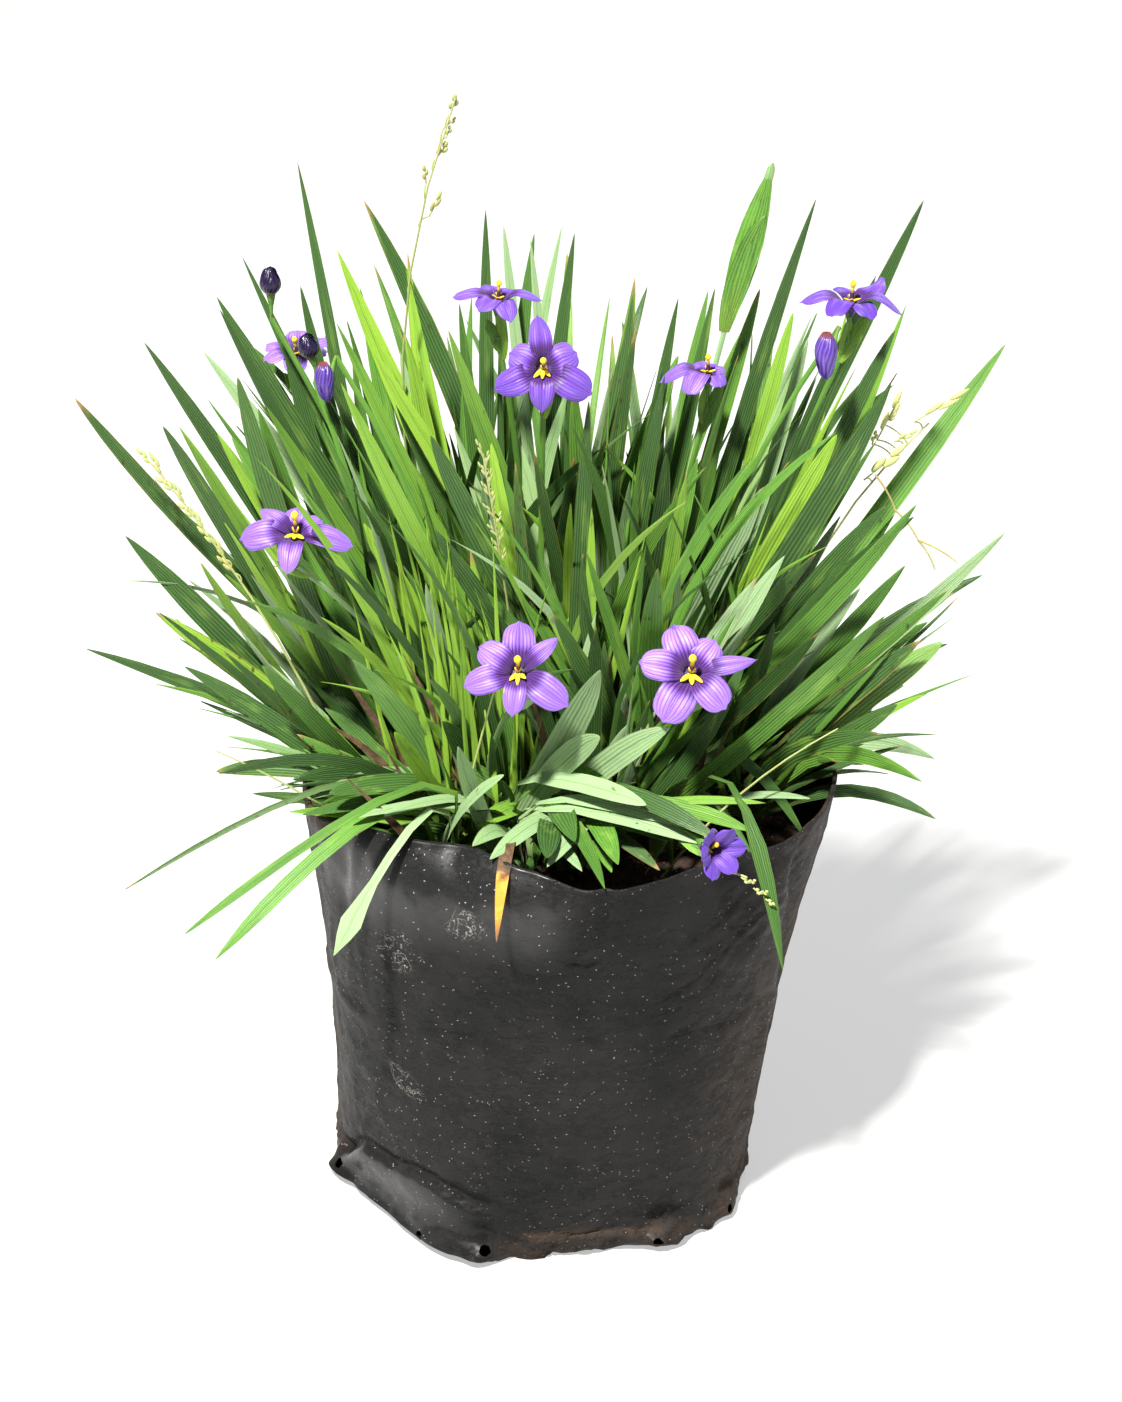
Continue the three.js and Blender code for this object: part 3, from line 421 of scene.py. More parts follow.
# %% Table of fans
FANS = [
    ((-55, 24), -8, 9, None, 1, [(-114, 5, 240, 5.5, 2), (-110, 10, 238, 5, 2), (-76, 45, 306, 3.6, 3)]),
    ((-38, 34), 6, 10, None, 1, [(-120, 20, 260, 5.6, 2), (-76, 40, 270, 4, -2), (-60, 62, 262, 5, 0)]),
    ((-22, 26), 0, 9, None, 1, [(-140, 10, 247, 4.6, -8), (-93, 35, 282, 3.6, 2), (-46, 58, 270, 3.4, 0)]),
    ((-6, 22), -6, 9, None, 1, [(-105, 35, 252, 6.6, 3), (-99, 25, 272, 7, -3), (-65, 28, 263, 4.6, 0)]),
    ((-44, 8), 10, 10, None, 1, [(-126, 0, 208, 7, 0), (-118, -5, 186, 6.6, 2), (-140, 0, 172, 4, 4)]),
    ((-36, -10), 14, 10, None, 1, [
        (-110, -8, 170, 5.6, 3), (-102, -5, 134, 5.6, 10), (-78, -26, 142, 5, 10)]),
    ((-26, 8), -4, 11, None, 1, [(-95, 10, 235, 5, 0), (-70, 5, 243, 3.6, 2), (-57, 0, 212, 8, 2)]),
    ((14, 30), 8, 9, None, 1, [(-66, 55, 276, 6.6, -4), (-32, 8, 268, 6, 0), (-55, 20, 259, 5.4, 0)]),
    ((28, 3), 0, 9, None, 1, [(-37, -5, 241, 6.6, -2), (-36, -14, 216, 6.2, -2), (7, -20, 212, 3.6, 0)]),
    ((-28, 44), 4, 9, None, 1, [(-90, 62, 240, 5, 2), (-46, 64, 262, 4, 0), (-22, 50, 290, 4.6, 3)]),
    ((-11, 44), -6, 9, None, 1, [(-30, 48, 262, 4.6, 0), (4, 50, 283, 5, 2), (35, 50, 245, 5.6, 2)]),
    ((6, 46), 10, 9, None, 1, [(-17, 60, 282, 3.6, 0), (-9, 54, 280, 3.8, 0), (22, 40, 257, 4.8, 3)]),
    ((2, 2), -10, 9, None, 1, [(-20, 2, 236, 5, 0), (8, 10, 246, 5, 0), (20, 0, 226, 4.6, 2)]),
    ((11, 14), 12, 9, None, 1, [(30, 20, 250, 5, 0), (58, -2, 224, 7.6, 0), (95, 15, 249, 8.4, -3)]),
    ((22, 38), 2, 10, None, 1, [(46, 62, 262, 4.6, 0), (59, 55, 264, 4.8, 2), (74, 45, 295, 4.8, 3)]),
    ((38, 31), 8, 10, None, 1, [(68, 40, 262, 5, 0), (92, 35, 276, 6, 2), (97, 30, 260, 5.2, 3)]),
    ((28, 19), -4, 9, None, 1, [(36, -5, 230, 4.8, 0), (80, 12, 235, 7, 0), (95, 15, 211, 5.6, 4)]),
    ((14, -11), 6, 9, None, 1, [(10, -24, 190, 5, 2), (56, -20, 204, 6, 2), (64, -12, 207, 6.6, 3)]),
    ((46, 18), -8, 11, None, 1, [(130, 10, 205, 5.2, -2), (117, 20, 181, 4.4, 3), (88, 8, 188, 5.4, 3)]),
    ((56, 6), -14, 10, None, 1, [(105, -5, 177, 7, 2), (112, 0, 174, 7.4, 3), (112, 5, 133, 6, 12)]),
    ((-22, -16), 10, 8, None, 1, [(-59, -35, 185, 7, 4), (-34, -32, 164, 7, 5), (-24, -28, 178, 5, 2)]),
    ((-5.5, -11.5), 2, 6, 1.2, 0.7, [(-30, -32, 150, 7, 5), (4, -62, 141, 7.6, 12), (27, -32, 138, 8, 9)]),
    ((-35, -35), -30, 2, 1.6, 0.45, [
        (-78, -42, 140, 5, 12), (-97, -78, 112, 6.8, 25), (-64, -78, 113, 6.4, 25)]),
    ((33, -18), 20, 6, 1.4, 0.7, [(36, -44, 152, 6, 4), (62, -76, 108, 7.4, 28), (72, -34, 140, 4.4, 9)]),
    ((6, -29), 8, 5, 1.5, 0.7, [(-4, -68, 139, 7, 14), (16, -70, 138, 6.6, 14), (44, -56, 139, 6, 10)]),
]
FAN_KEYS = ("at", "faces", "fill", "lay", "early", "blades")
FANS = [dict(zip(FAN_KEYS, row)) for row in FANS]
ROOT_LEVEL = 114.4
CROWN_SPAN = 11.4


def back_fan(index):
    """A fan behind the clump, which the photograph doesn't show."""
    heading = 41 + (139 - 41) * index / 4
    draw = seeded(9000 + index)
    radius = 62 * (0.97 + 0.06 * draw())
    turn = math.radians(heading)
    at = (radius * math.cos(turn), 2 + radius * math.sin(turn))
    blades = []
    for swing in (-26, 2, 30):
        lean = math.radians(8 + 24 * draw())
        way = math.radians(heading + swing + 14 * (draw() - 0.5))
        reach = 150 * (0.84 + 0.2 * draw())
        out = reach * math.sin(lean)
        top = ROOT_LEVEL + reach * math.cos(lean)
        width = 4.4 + 2.4 * draw()
        blades.append((at[0] + out * math.cos(way), at[1] + out * math.sin(way), top, width, 5 + 7 * draw()))
    return dict(zip(FAN_KEYS, (at, heading - 90 + 30 * (draw() - 0.5), 10, None, 1, blades)))


FANS += [back_fan(index) for index in range(5)]
print("fans:", len(FANS), "blades planned:", sum(len(fan["blades"]) + fan["fill"] for fan in FANS))

# %% [markdown]
# ## Where a blade goes
# A main blade runs from the crown of its fan to its own tip. One that is filled in ends
# somewhere between the tips of two main ones. Each has a little bow, sway and twist by
# chance, and is given more freedom the more often it has been tried.

# %% Rules for the blades
def crown_spot(fan, along, step):
    turn = math.radians(fan["faces"])
    x = fan["at"][0] + along * math.cos(turn) - step * math.sin(turn)
    y = fan["at"][1] + along * math.sin(turn) + step * math.cos(turn)
    return np.array((x, y, ROOT_LEVEL))


def face_of(fan):
    turn = math.radians(fan["faces"])
    return (math.sin(turn), -math.cos(turn), fan["lay"] or 0.25)


def lowness(tip, root):
    return max(0.0, 1.1 * (0.75 - unit(tip - root)[2]))


def outer_blade(fan, index, draw, attempt):
    x, y, z, width, bow = fan["blades"][index]
    nudge = (draw() - 0.5) * 2.4 * attempt if attempt else 0.0
    tip = np.array((x, y, z)) + np.array((0, -0.9, 0.44)) * nudge
    layer = draw() * 2 - 1 if attempt % 2 else 0
    root = crown_spot(fan, (index / (len(fan["blades"]) - 1) - 0.5) * CROWN_SPAN, layer * 1.5)
    strain = 1.2 * attempt
    bow = bow + (draw() - 0.5) * strain + lowness(tip, root) * attempt
    sway = (draw() - 0.5) * (1 + strain)
    return Line(root, tip, bow, sway, face_of(fan), (draw() - 0.5) * 0.7, fan["early"], width)


def fill_blade(fan, index, draw, attempt):
    gaps = len(fan["blades"]) - 1
    before = index * gaps // fan["fill"]
    in_gap = fan["fill"] / gaps
    order = before + (index - before * in_gap + 0.6 + 0.8 * draw()) / (in_gap + 1)
    first, second = (np.array(fan["blades"][before + step], float) for step in (0, 1))
    mix = first + (second - first) * (order - before)
    reach = 0.98 - (0.24 if fan["lay"] else 0.42) * draw()
    loose = 1 + 0.2 * attempt
    spread = np.array((draw() - 0.5, draw() - 0.5, 0.4 * (draw() - 0.5)))
    layer = math.floor(2.6 * spread[1] + 0.5)
    root = crown_spot(fan, (order / gaps - 0.5) * CROWN_SPAN, layer * 1.5)
    tip = (mix[:3] - root) * reach + root + spread * 26 * loose
    arch = mix[4] * reach + lowness(tip, root) * attempt
    width = 3.8 + 3.2 * draw()
    bow = arch + (draw() - 0.5) * 5 * loose
    sway = (draw() - 0.5) * 5 * loose
    return Line(root, tip, bow, sway, face_of(fan), (draw() - 0.5) * 1.1, fan["early"], width)


# %% [markdown]
# ## Which try was kept
# When the solids were made, a blade that crossed another one was drawn again with a little
# more freedom, up to sixteen times. Here the same tries are made in the same order, and
# the one whose tip is found on the solid is kept.

# %% Blades found on the solids
def solid_spots(node):
    """The corners of a solid in mm, ready to be searched."""
    corners = spots_of(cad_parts[node]) / MM
    tree = kdtree.KDTree(len(corners))
    for index, corner in enumerate(corners):
        tree.insert(corner, index)
    tree.balance()
    return tree


def chosen(tree, seed, make, fan, index):
    """The line of the try whose tip is a corner of the solid, or None."""
    for attempt in range(16):
        line = make(fan, index, seeded(seed * 32 + attempt), attempt)
        if tree.find(line.tip)[2] < 0.06:
            return line
    return None


fan_lines = []
for number, fan in enumerate(FANS):
    tree = solid_spots(f"leaf_fan_{number + 1:02d}")
    outer = [chosen(tree, number * 64 + i, outer_blade, fan, i) for i in range(len(fan["blades"]))]
    filled = [chosen(tree, number * 64 + i + 16, fill_blade, fan, i) for i in range(fan["fill"])]
    fan_lines.append([line for line in outer + filled if line is not None])
print("blades found on the solids:", sum(map(len, fan_lines)))
print("fewest in a fan:", min(map(len, fan_lines)))

# %% [markdown]
# ## The green of the leaves
# A blade is satin, and its green runs from a deep dull one to a fresh yellow green. The deep
# end also stands for painted shade, and the yellow green end for painted backlight. Fine
# veins run along it, its tip dries brown, and here and there it is spotted. The pattern
# reads the blade's own UV map, so the veins meet at the tip. Each blade has its own hue, age
# and chance from the tint that it carries, and about one in ten is pale and waxy, a green
# that is partly a painted sheen. A darker stripe along the middle is painted shade in its
# groove.

# %% Leaf finish
def leaf_finish(name):
    leaf = Finish(name, Subsurface_Weight=0.14, Subsurface_Radius=(0.5, 1.0, 0.12), Subsurface_Scale=0.0014,
                  IOR=1.42, Specular_IOR_Level=0.34)
    place = leaf.place()
    u, v = leaf.along()
    hue, age, chance = leaf.tint()
    mottle = leaf.noise(place, 420, 3, 0.6)
    blade = leaf.node("ShaderNodeCombineXYZ", {}, {0: u * 1.4, 1: v * 4.5 + hue * 9, 2: chance * 30})
    patch = leaf.noise(blade, 1.0, 3, 0.6)
    vein = (u * 44 + mottle * 1.5).stripes()
    fold = abs(u - 0.5).between(0.08, 0.0)
    # The deep green end paints shade and the yellow green end paints backlight, besides the leaves' own tones.
    green = leaf.mix(hue.between(0.0, 0.5), rgb(0.018, 0.056, 0.012), rgb(0.068, 0.192, 0.017))
    green = leaf.mix(hue.between(0.5, 1.0), green, rgb(0.25, 0.44, 0.024))
    green = leaf.mix(patch.between(0.5, 0.72) * 0.55, green, rgb(0.022, 0.075, 0.01))
    green = leaf.mix(patch.between(0.45, 0.25) * 0.4, green, rgb(0.25, 0.42, 0.06))
    # Pale waxy green, partly a painted sheen.
    green = leaf.mix(chance.between(0.83, 0.96) * 0.8, green, rgb(0.31, 0.44, 0.24))
    green = leaf.mix(vein * (hue * 0.18 + 0.18), green, rgb(0.25, 0.41, 0.12))
    # Darker along the middle groove: painted shade.
    green = leaf.mix(fold * 0.25, green, rgb(0.03, 0.085, 0.014))
    green = leaf.mix(v.between(0.4, 0.0) * 0.3, green, rgb(0.2, 0.26, 0.03))
    cells = {"Vector": leaf.stretched(place, (1, 1, 0.5)), "Scale": 330.0}
    spots = leaf.node("ShaderNodeTexVoronoi", {}, cells)
    freckle = spots.between(0.22, 0.1) * (patch + age * 0.45).between(0.72, 0.9)
    green = leaf.mix(freckle * 0.8, green, rgb(0.04, 0.03, 0.016))
    edge = abs(u - 0.5).between(0.4, 0.5) * (mottle + age * 0.5).between(0.78, 0.98)
    green = leaf.mix(edge * 0.7, green, rgb(0.2, 0.1, 0.035))
    dry = (v + mottle * 0.05 + age * 0.09 + chance * 0.02).between(1.06, 1.11)
    green = leaf.mix(dry, green, rgb(0.3, 0.19, 0.07))
    rough = mottle * 0.2 + 0.34 - vein * 0.06
    relief = leaf.bump(vein * 0.7 - fold * 0.9 + mottle * 0.4, 0.35, 0.0004)
    leaf.link(Base_Color=green, Roughness=rough, Normal=relief)
    return leaf


leaf_green = leaf_finish("leaf_green")
print(leaf_green.material.name, "nodes:", len(leaf_green.tree.nodes))

# %% [markdown]
# ## One leaf on its line
# Each blade is a copy of one of the shapes, laid on its own line. Real blades are not quite
# flat: they are slightly cupped. Two leaves have a form of their own: one ends like a spoon
# and one stands on a narrow stalk, so their width is a rule along the leaf.

# %% One leaf
BLADE_THICK = 0.95


def cupped(width):
    """Edges that come forward a little."""
    return lambda across, share: 0.35 * width * across**2


def leaf_on(line, draw, shape, hue, chance):
    leaf = lay(copy_of(shape), line, line.width, BLADE_THICK, cupped(line.width), start=-0.03)
    return give_tint(leaf, min(1, max(0, hue)), draw() ** 2, chance)


def spoon_leaf(line, draw):
    """A narrow leaf with a broad round end, as the shorter one that hangs out at the left."""
    wide = lambda share: 2.6 + 5.2 * np.exp(-(((share - 0.87) / 0.1) ** 2))
    leaf = lay(copy_of(blunt_shape), line, wide, BLADE_THICK, cupped(6), start=-0.03)
    return give_tint(leaf, 0.3, 0.3 * draw(), 0.95)


def stalked_leaf(line, draw):
    """A leaf on a narrow stalk, as the one that hangs out at the right."""
    wide = lambda share: 5.2 * (0.36 + 0.64 * np.clip((share - 0.5) / 0.12, 0, 1))
    leaf = lay(copy_of(blade_shape), line, wide, BLADE_THICK, cupped(5), start=-0.03)
    return give_tint(leaf, 0.16, 0.3 * draw(), 0.4)


print("leaf thickness in mm:", BLADE_THICK)

# %% [markdown]
# ## Which leaf has which green
# The leaves that stand out in the photograph by their colour are named by fan and number.
# Their dark greens are partly painted shade, their bright ones partly painted backlight, and
# the pale ones partly a painted sheen. The outermost and the hanging ones are dull there, and
# the hindmost, which it doesn't show, are taken to be so too. The others draw their hue,
# brighter the steeper they stand, which is painted backlight. Blades that the solids had no
# room for are added thinner, because the real clump is denser.

# %% Greens, and thinner blades between
DARK_SHADED_LEAVES = {
    (0, 2), (2, 0), (2, 1), (3, 1), (4, 0), (4, 2), (5, 0), (8, 0), (8, 1), (9, 2), (10, 1), (11, 2),
    (14, 2), (15, 1), (15, 2), (16, 2)}
BRIGHT_BACKLIT_LEAVES = {(4, 1), (6, 2), (7, 0), (7, 2), (12, 0), (16, 1)}
PALE_SHEEN_LEAVES = {(3, 0), (11, 0), (11, 1), (13, 1), (17, 1), (17, 2), (18, 0), (19, 2)}
BROAD_HANGING_LEAF = (22, 1)
FRONT_FANS = 25
UPRIGHT_FANS = 21
OUTER_REACH, OUTER_LEVEL, HANGING_LEVEL = 112, 205, 130


def hue_of(leaf, line, draw):
    """Hue and chance: as seen in the photograph for some leaves, with shade, backlight and sheen painted in,
    drawn for the others.
    """
    # Dark is partly painted shade, bright partly painted backlight, pale partly a painted sheen.
    if leaf in DARK_SHADED_LEAVES:
        return 0.04, 0.4
    if leaf in BRIGHT_BACKLIT_LEAVES:
        return 0.92, 0.3
    if leaf in PALE_SHEEN_LEAVES:
        return 0.3, 1.0
    if leaf == BROAD_HANGING_LEAF:
        return 0.55, 0.6
    outer = abs(line.tip[0]) > OUTER_REACH and line.tip[2] > OUTER_LEVEL
    hanging = line.tip[2] < HANGING_LEVEL
    if outer or hanging or (leaf and leaf[0] >= FRONT_FANS):
        return 0.4 * draw(), 0.8 * draw()
    # Steeper leaves draw a brighter hue: painted backlight.
    steep = unit(line.tip - line.root)[2]
    return 0.36 * steep**2 - 0.02 + 1.2 * (draw() - 0.48), draw()


def thin_extra(number, fan):
    """Lines of thinner blades between the main ones, three for each that the solids have."""
    lines = []
    for index in range(0 if fan["lay"] else 3 * fan["fill"]):
        draw = seeded(40000 + number * 64 + index)
        line = fill_blade(fan, index // 3, draw, 2 * (index % 3))
        line.width *= 0.26 + 0.42 * draw()
        line.tip = line.root + (line.tip - line.root) * (0.48 + 0.48 * draw())
        lines.append(line)
    return lines


print("leaves with a green of their own:", len(DARK_SHADED_LEAVES | BRIGHT_BACKLIT_LEAVES | PALE_SHEEN_LEAVES) + 1)

# %% [markdown]
# ## The leaves of the fans
# Now every line gets its leaf. The hanging leaves at the front left and right, and those of
# the fans behind, are laid narrower than their solids, as the photograph shows them.

# %% Leaves of the fans
SPOON_LEAF = (22, 2)
STALKED_LEAF = (23, 1)
HANGING_FANS = (22, 23)
fan_leaves = []
for number, (fan, lines) in enumerate(zip(FANS, fan_lines)):
    draw = seeded(50000 + number)
    grown = []
    for index, line in enumerate(lines):
        shape = blunt_shape if draw() < 0.3 else blade_shape
        if (number, index) == SPOON_LEAF:
            grown.append(spoon_leaf(line, draw))
            continue
        if (number, index) == STALKED_LEAF:
            grown.append(stalked_leaf(line, draw))
            continue
        if number in HANGING_FANS and index > 0:
            line.width *= 0.72 if index < 3 else 0.5
        if number >= FRONT_FANS:
            line.width *= 0.75
        grown.append(leaf_on(line, draw, shape, *hue_of((number, index), line, draw)))
    for line in thin_extra(number, fan):
        shape = needle_shape if draw() < 0.45 else blade_shape
        grown.append(leaf_on(line, draw, shape, *hue_of(None, line, draw)))
    fan_leaves.append(grown)
print("blades laid:", sum(map(len, fan_leaves)))

# %% [markdown]
# ## Stems
# A flower stem of this plant is flat and has two thin wings. It ends in two small bracts,
# and from them a thread-thin stalk carries the flower with its round ovary. The stems are
# found on the solids as the blades are, by a corner halfway up.

# %% Stems found on the solids
def stem_corner(line, thickness):
    spot, _, face = line.at(0.5)
    return spot[0] + face[0] * thickness / 2


def stem_found(tree, root, tip, bow, face, seed, step, thickness):
    """The line of a stem or a grass stalk, on the try that the solid was made with."""
    for attempt in range(48):
        draw = seeded(seed + attempt)
        loose = step * attempt
        line = Line(root, tip, bow + loose * (draw() - 0.5), loose * (draw() - 0.5), face)
        if tree.find(stem_corner(line, thickness))[2] < 0.06:
            return line, draw
    return Line(root, tip, bow, 0, face), seeded(seed)


def scape(fan_index, end, bow):
    fan = FANS[fan_index]
    tree = solid_spots(f"leaf_fan_{fan_index + 1:02d}")
    root = crown_spot(fan, 0, -2.3)
    turn = math.radians(fan["faces"])
    face = (math.sin(turn), -math.cos(turn), 0.25)
    line, _ = stem_found(tree, root, end, bow, face, 7000 + fan_index * 64, 1.2, 1.3)
    return line


def stem_on(line, draw):
    stem = lay(copy_of(stalk_shape), line, lambda share: 2.3 * (1 - 0.3 * share), 1.2, start=-0.02)
    return give_tint(stem, 0.45 + 0.2 * (draw() - 0.5), 0.1, draw())


def thread_on(root, tip, bow, widths, hue=0.5, age=0.2):
    """A thin round stalk, as wide as its list of widths from foot to end."""
    line = Line(root, tip, bow, 0, (0.3, -1, 0.1))
    steps = np.linspace(0, 1, len(widths))
    wide = lambda share: np.interp(share, steps, widths)
    return give_tint(lay(copy_of(stalk_shape), line, wide, wide), hue, age, 0.5)


# %% [markdown]
# ## Table of flowers and buds
# A row of the flowers gives: place, the direction that it looks in, how far it is closed in
# degrees, size, the fan and the bow of its stem, where its stalk starts if that isn't below
# it, how light its violet is, and its tepals. A tepal is given by its direction in degrees,
# its length and width against the usual ones, how far its end curls back, and how pointed it
# is. No two of them are alike: some are broad and blunt, others narrow and pointed. A row of
# the buds gives: place, direction, length, width, and the fan and bow of its stem.

# %% Flowers and buds
FLOWERS = [
    ((-5, 6, 257), (0, -0.93, 0.36), 6, 1, 3, 3, None, 0.32,
     [(97, 1.12, 0.8, -0.1, 0.45), (156, 0.7, 1.0, 0.5, 0), (-156, 1.05, 0.96, 0.35, 0.2),
      (-93, 0.82, 0.86, 0.5, 0.3), (-28, 1.08, 1.02, 0.3, 0), (26, 0.7, 1.0, 0.5, 0)]),
    ((-18, 26, 272), (0.05, -0.1, 1), 4, 0.9, 10, 2, None, 0.26,
     [(184, 1.02, 0.76, 0.2, 0), (238, 0.66, 0.85, 0.7, 0), (290, 0.72, 0.8, 0.9, 0),
      (352, 0.98, 0.7, 0.3, 0), (50, 0.6, 0.7, 0.2, 0), (120, 0.6, 0.7, 0.2, 0)]),
    ((-75, -20, 218), (0, -0.5, 0.87), 4, 1.14, 6, 8, None, 0.7,
     [(188, 0.96, 0.88, 0.3, 0), (262, 0.84, 0.7, 0.5, 0.3), (346, 1.0, 0.72, 0.45, 0.15),
      (146, 0.78, 0.6, 0.1, 0.5), (88, 0.54, 0.7, 0.0, 0), (24, 0.5, 0.7, 0.2, 0)]),
    ((-12, -45, 186), (-0.05, -0.78, 0.62), 8, 1.14, 20, 6, None, 0.8,
     [(88, 0.92, 0.9, -0.25, 0.1), (36, 0.98, 0.58, -0.1, 0.7), (-38, 1.04, 0.88, 0.3, 0),
      (-98, 0.78, 0.66, 0.35, 0.1), (-166, 0.96, 0.78, 0.3, 0), (146, 0.8, 0.8, 0.25, 0)]),
    ((37, -37, 182), (0.05, -0.74, 0.67), 6, 1.22, 17, 6, None, 0.92,
     [(112, 0.86, 0.92, 0.15, 0), (172, 0.88, 0.84, 0.2, 0), (-118, 0.98, 1.02, 0.2, 0),
      (-48, 0.84, 0.9, 0.2, 0), (12, 1.12, 0.56, 0.05, 0.7), (54, 0.66, 0.8, 0.1, 0)]),
    ((43, 33, 247), (0, -0.16, 0.99), 2, 0.92, 14, 2, None, 0.42,
     [(190, 1.06, 0.86, 0.5, 0.2), (240, 0.9, 0.86, 0.7, 0), (296, 0.6, 0.7, 0.5, 0),
      (355, 0.36, 0.7, 0.3, 0), (60, 0.32, 0.7, 0.1, 0), (125, 0.4, 0.7, 0.1, 0)]),
    ((84, 30, 270), (0.06, -0.06, 1), 0, 1, 15, 3, None, 0.06,
     [(184, 1.06, 0.7, 0.25, 0.3), (236, 0.78, 0.82, 0.6, 0), (300, 0.74, 0.8, 0.4, 0),
      (352, 1.0, 0.86, 0.7, 0.2), (38, 0.95, 0.86, -0.7, 0.3), (112, 0.6, 0.7, 0.1, 0)]),
    ((42, -66, 141), (0.5, -0.84, 0.2), 44, 0.86, 21, 14, (-7, 8.5, 1), 0.12,
     [(angle, 0.86, 0.86, 0.16, 0.15) for angle in range(30, 390, 60)]),
    ((-79, 54, 245), (-0.1, -0.2, 0.97), 4, 0.9, 1, 2, None, 1.0,
     [(angle, 0.86, 0.9, 0.12, 0.1) for angle in range(30, 390, 60)]),
]
FLOWER_KEYS = ("at", "looks", "open", "size", "fan", "bow", "neck", "shade", "tepals")
FLOWERS = [dict(zip(FLOWER_KEYS, row)) for row in FLOWERS]
BUDS = [
    ((-84, 32, 274), (0, 0, 1), 8, 5.6, 2, 4),
    ((-73, 24, 257), (-0.2, 0, 1), 7, 5.4, 4, 6),
    ((-66, 16, 244), (0.1, -0.3, -1), 11, 5, 6, 12),
    ((78, 16, 252), (0, -0.2, -1), 13, 6, 16, 10),
]
BUD_KEYS = ("at", "points", "length", "width", "fan", "bow")
BUDS = [dict(zip(BUD_KEYS, row)) for row in BUDS]
print("flowers:", len(FLOWERS), "buds:", len(BUDS))

# %% [markdown]
# ## Stems into their fans
# Every stem, bract, stalk and ovary is joined with the fan that it grows from, as it is in
# the solids.

# %% Grow the stems
def neck_of(flower):
    at, looks = np.array(flower["at"], float), unit(flower["looks"])
    if flower["neck"]:
        return at + flower["neck"]
    return at - looks * 4.95 - UP * 7.7


def bracts_on(line, draw):
    """Two sheathing bracts at a stem's end, one longer than the other."""
    spot, tangent, face = (rows[0] for rows in line.at(1))
    side = np.cross(face, tangent)
    pieces = []
    for length, lean, width in ((17, 1, 4.2), (11, -1, 3.6)):
        root = spot - tangent * length * 0.45
        tip = root + tangent * length - side * 2.4 * lean
        bract = Line(root, tip, 0, 0, face + 0.6 * lean * side)
        leaf = lay(copy_of(blade_shape), bract, lambda share: width * (0.5 + 0.8 * np.sqrt(1 - share)), 1.2)
        pieces.append(give_tint(leaf, 0.5 + 0.3 * draw(), 0.5, draw()))
    return pieces


for number, flower in enumerate(FLOWERS):
    draw = seeded(52000 + number)
    at, looks = np.array(flower["at"], float), unit(flower["looks"])
    neck = neck_of(flower)
    line = scape(flower["fan"], neck, flower["bow"])
    grown = [stem_on(line, draw), *bracts_on(line, draw)]
    throat = at - looks * 1.6
    grown.append(thread_on(neck, throat, 0.6, (1.0, 0.9, 0.9, 1.0, 1.2, 2.2, 3.2, 3.3, 2.3), age=0.7))
    fan_leaves[flower["fan"]] += grown

for number, bud in enumerate(BUDS):
    draw = seeded(53000 + number)
    at, points = np.array(bud["at"], float), unit(bud["points"])
    foot = at - points * (bud["length"] / 2 + 0.3)
    end = foot - points * 4
    end = end + np.array((2.0, 3.0, 1.5)) if points[2] < 0 else end - UP * 3
    line = scape(bud["fan"], end, bud["bow"])
    stalk = thread_on(end, foot + points * 0.9, 0.8, (1.0, 1.0, 1.3, 2.2, 3.0), age=0.8)
    fan_leaves[bud["fan"]] += [stem_on(line, draw), stalk]
print("pieces in the fans:", sum(map(len, fan_leaves)))

# %% [markdown]
# ## The closed spathe
# At the top right a flower is still wrapped in its two folded bracts. They make a slim
# green pod with a beak, wider than any leaf.

# %% Spathe
SPATHE = {"at": (61, 50, 302), "fan": 14, "length": 46, "width": 8.4, "thickness": 3.2, "bow": 4}
spathe_fan = FANS[SPATHE["fan"]]
spathe_line = Line(crown_spot(spathe_fan, 0, -2.3), SPATHE["at"], SPATHE["bow"], 0, face_of(spathe_fan))
spathe_from = 1 - SPATHE["length"] / np.linalg.norm(spathe_line.tip - spathe_line.root)


def spathe_width(share):
    swell = np.minimum(0.985, 0.1 + (share - spathe_from) / (1 - spathe_from) * 0.9)
    return SPATHE["width"] * np.sin(np.pi * swell) ** 0.8 + 0.5


pod_line = lay(copy_of(stalk_shape), spathe_line, spathe_width, lambda share: 0.42 * spathe_width(share),
               start=spathe_from)
give_tint(pod_line, 0.52, 0.15, 0.4)
beak = Line(spathe_line.at(0.955)[0][0], np.array(SPATHE["at"]) + (0.5, 0, 2), 0, 0, face_of(spathe_fan))
beak_leaf = give_tint(lay(copy_of(blade_shape), beak, 2.6, 1.3), 0.55, 0.8, 0.9)
sheath = Line(spathe_line.at(spathe_from - 0.02)[0][0], spathe_line.at(0.93)[0][0] + (2.2, -1.2, 0), 1.5, 0,
              face_of(spathe_fan), 0.3)
sheath_leaf = give_tint(lay(copy_of(blade_shape), sheath, 7.0, 1.2, cupped(12)), 0.5, 0.3, 0.2)
spathe_stem = Line(spathe_line.root, spathe_line.at(spathe_from + 0.04)[0][0], SPATHE["bow"] * 0.6, 0,
                   face_of(spathe_fan))
fan_leaves[SPATHE["fan"]] += [pod_line, beak_leaf, sheath_leaf, stem_on(spathe_stem, seeded(54000))]

for number, grown in enumerate(fan_leaves):
    fan_piece = joined(grown, f"leaves_{number + 1:02d}")
    finished(fan_piece, leaf_green, [f"leaf_fan_{number + 1:02d}"])
print("faces in the fans:", sum(len(piece.data.polygons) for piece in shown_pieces() if "leaves_" in piece.name))

# %% [markdown]
# ## Tepals
# A tepal is a thin petal, broad from its foot, blunt, with a tiny point at its end. A flat
# grid gives rows that can be cupped and curled. It is solidified, its rim is thinned, and
# each copy is laid from the throat of the flower to its tip.

# %% Tepal shape
TEPAL_ROWS = 13


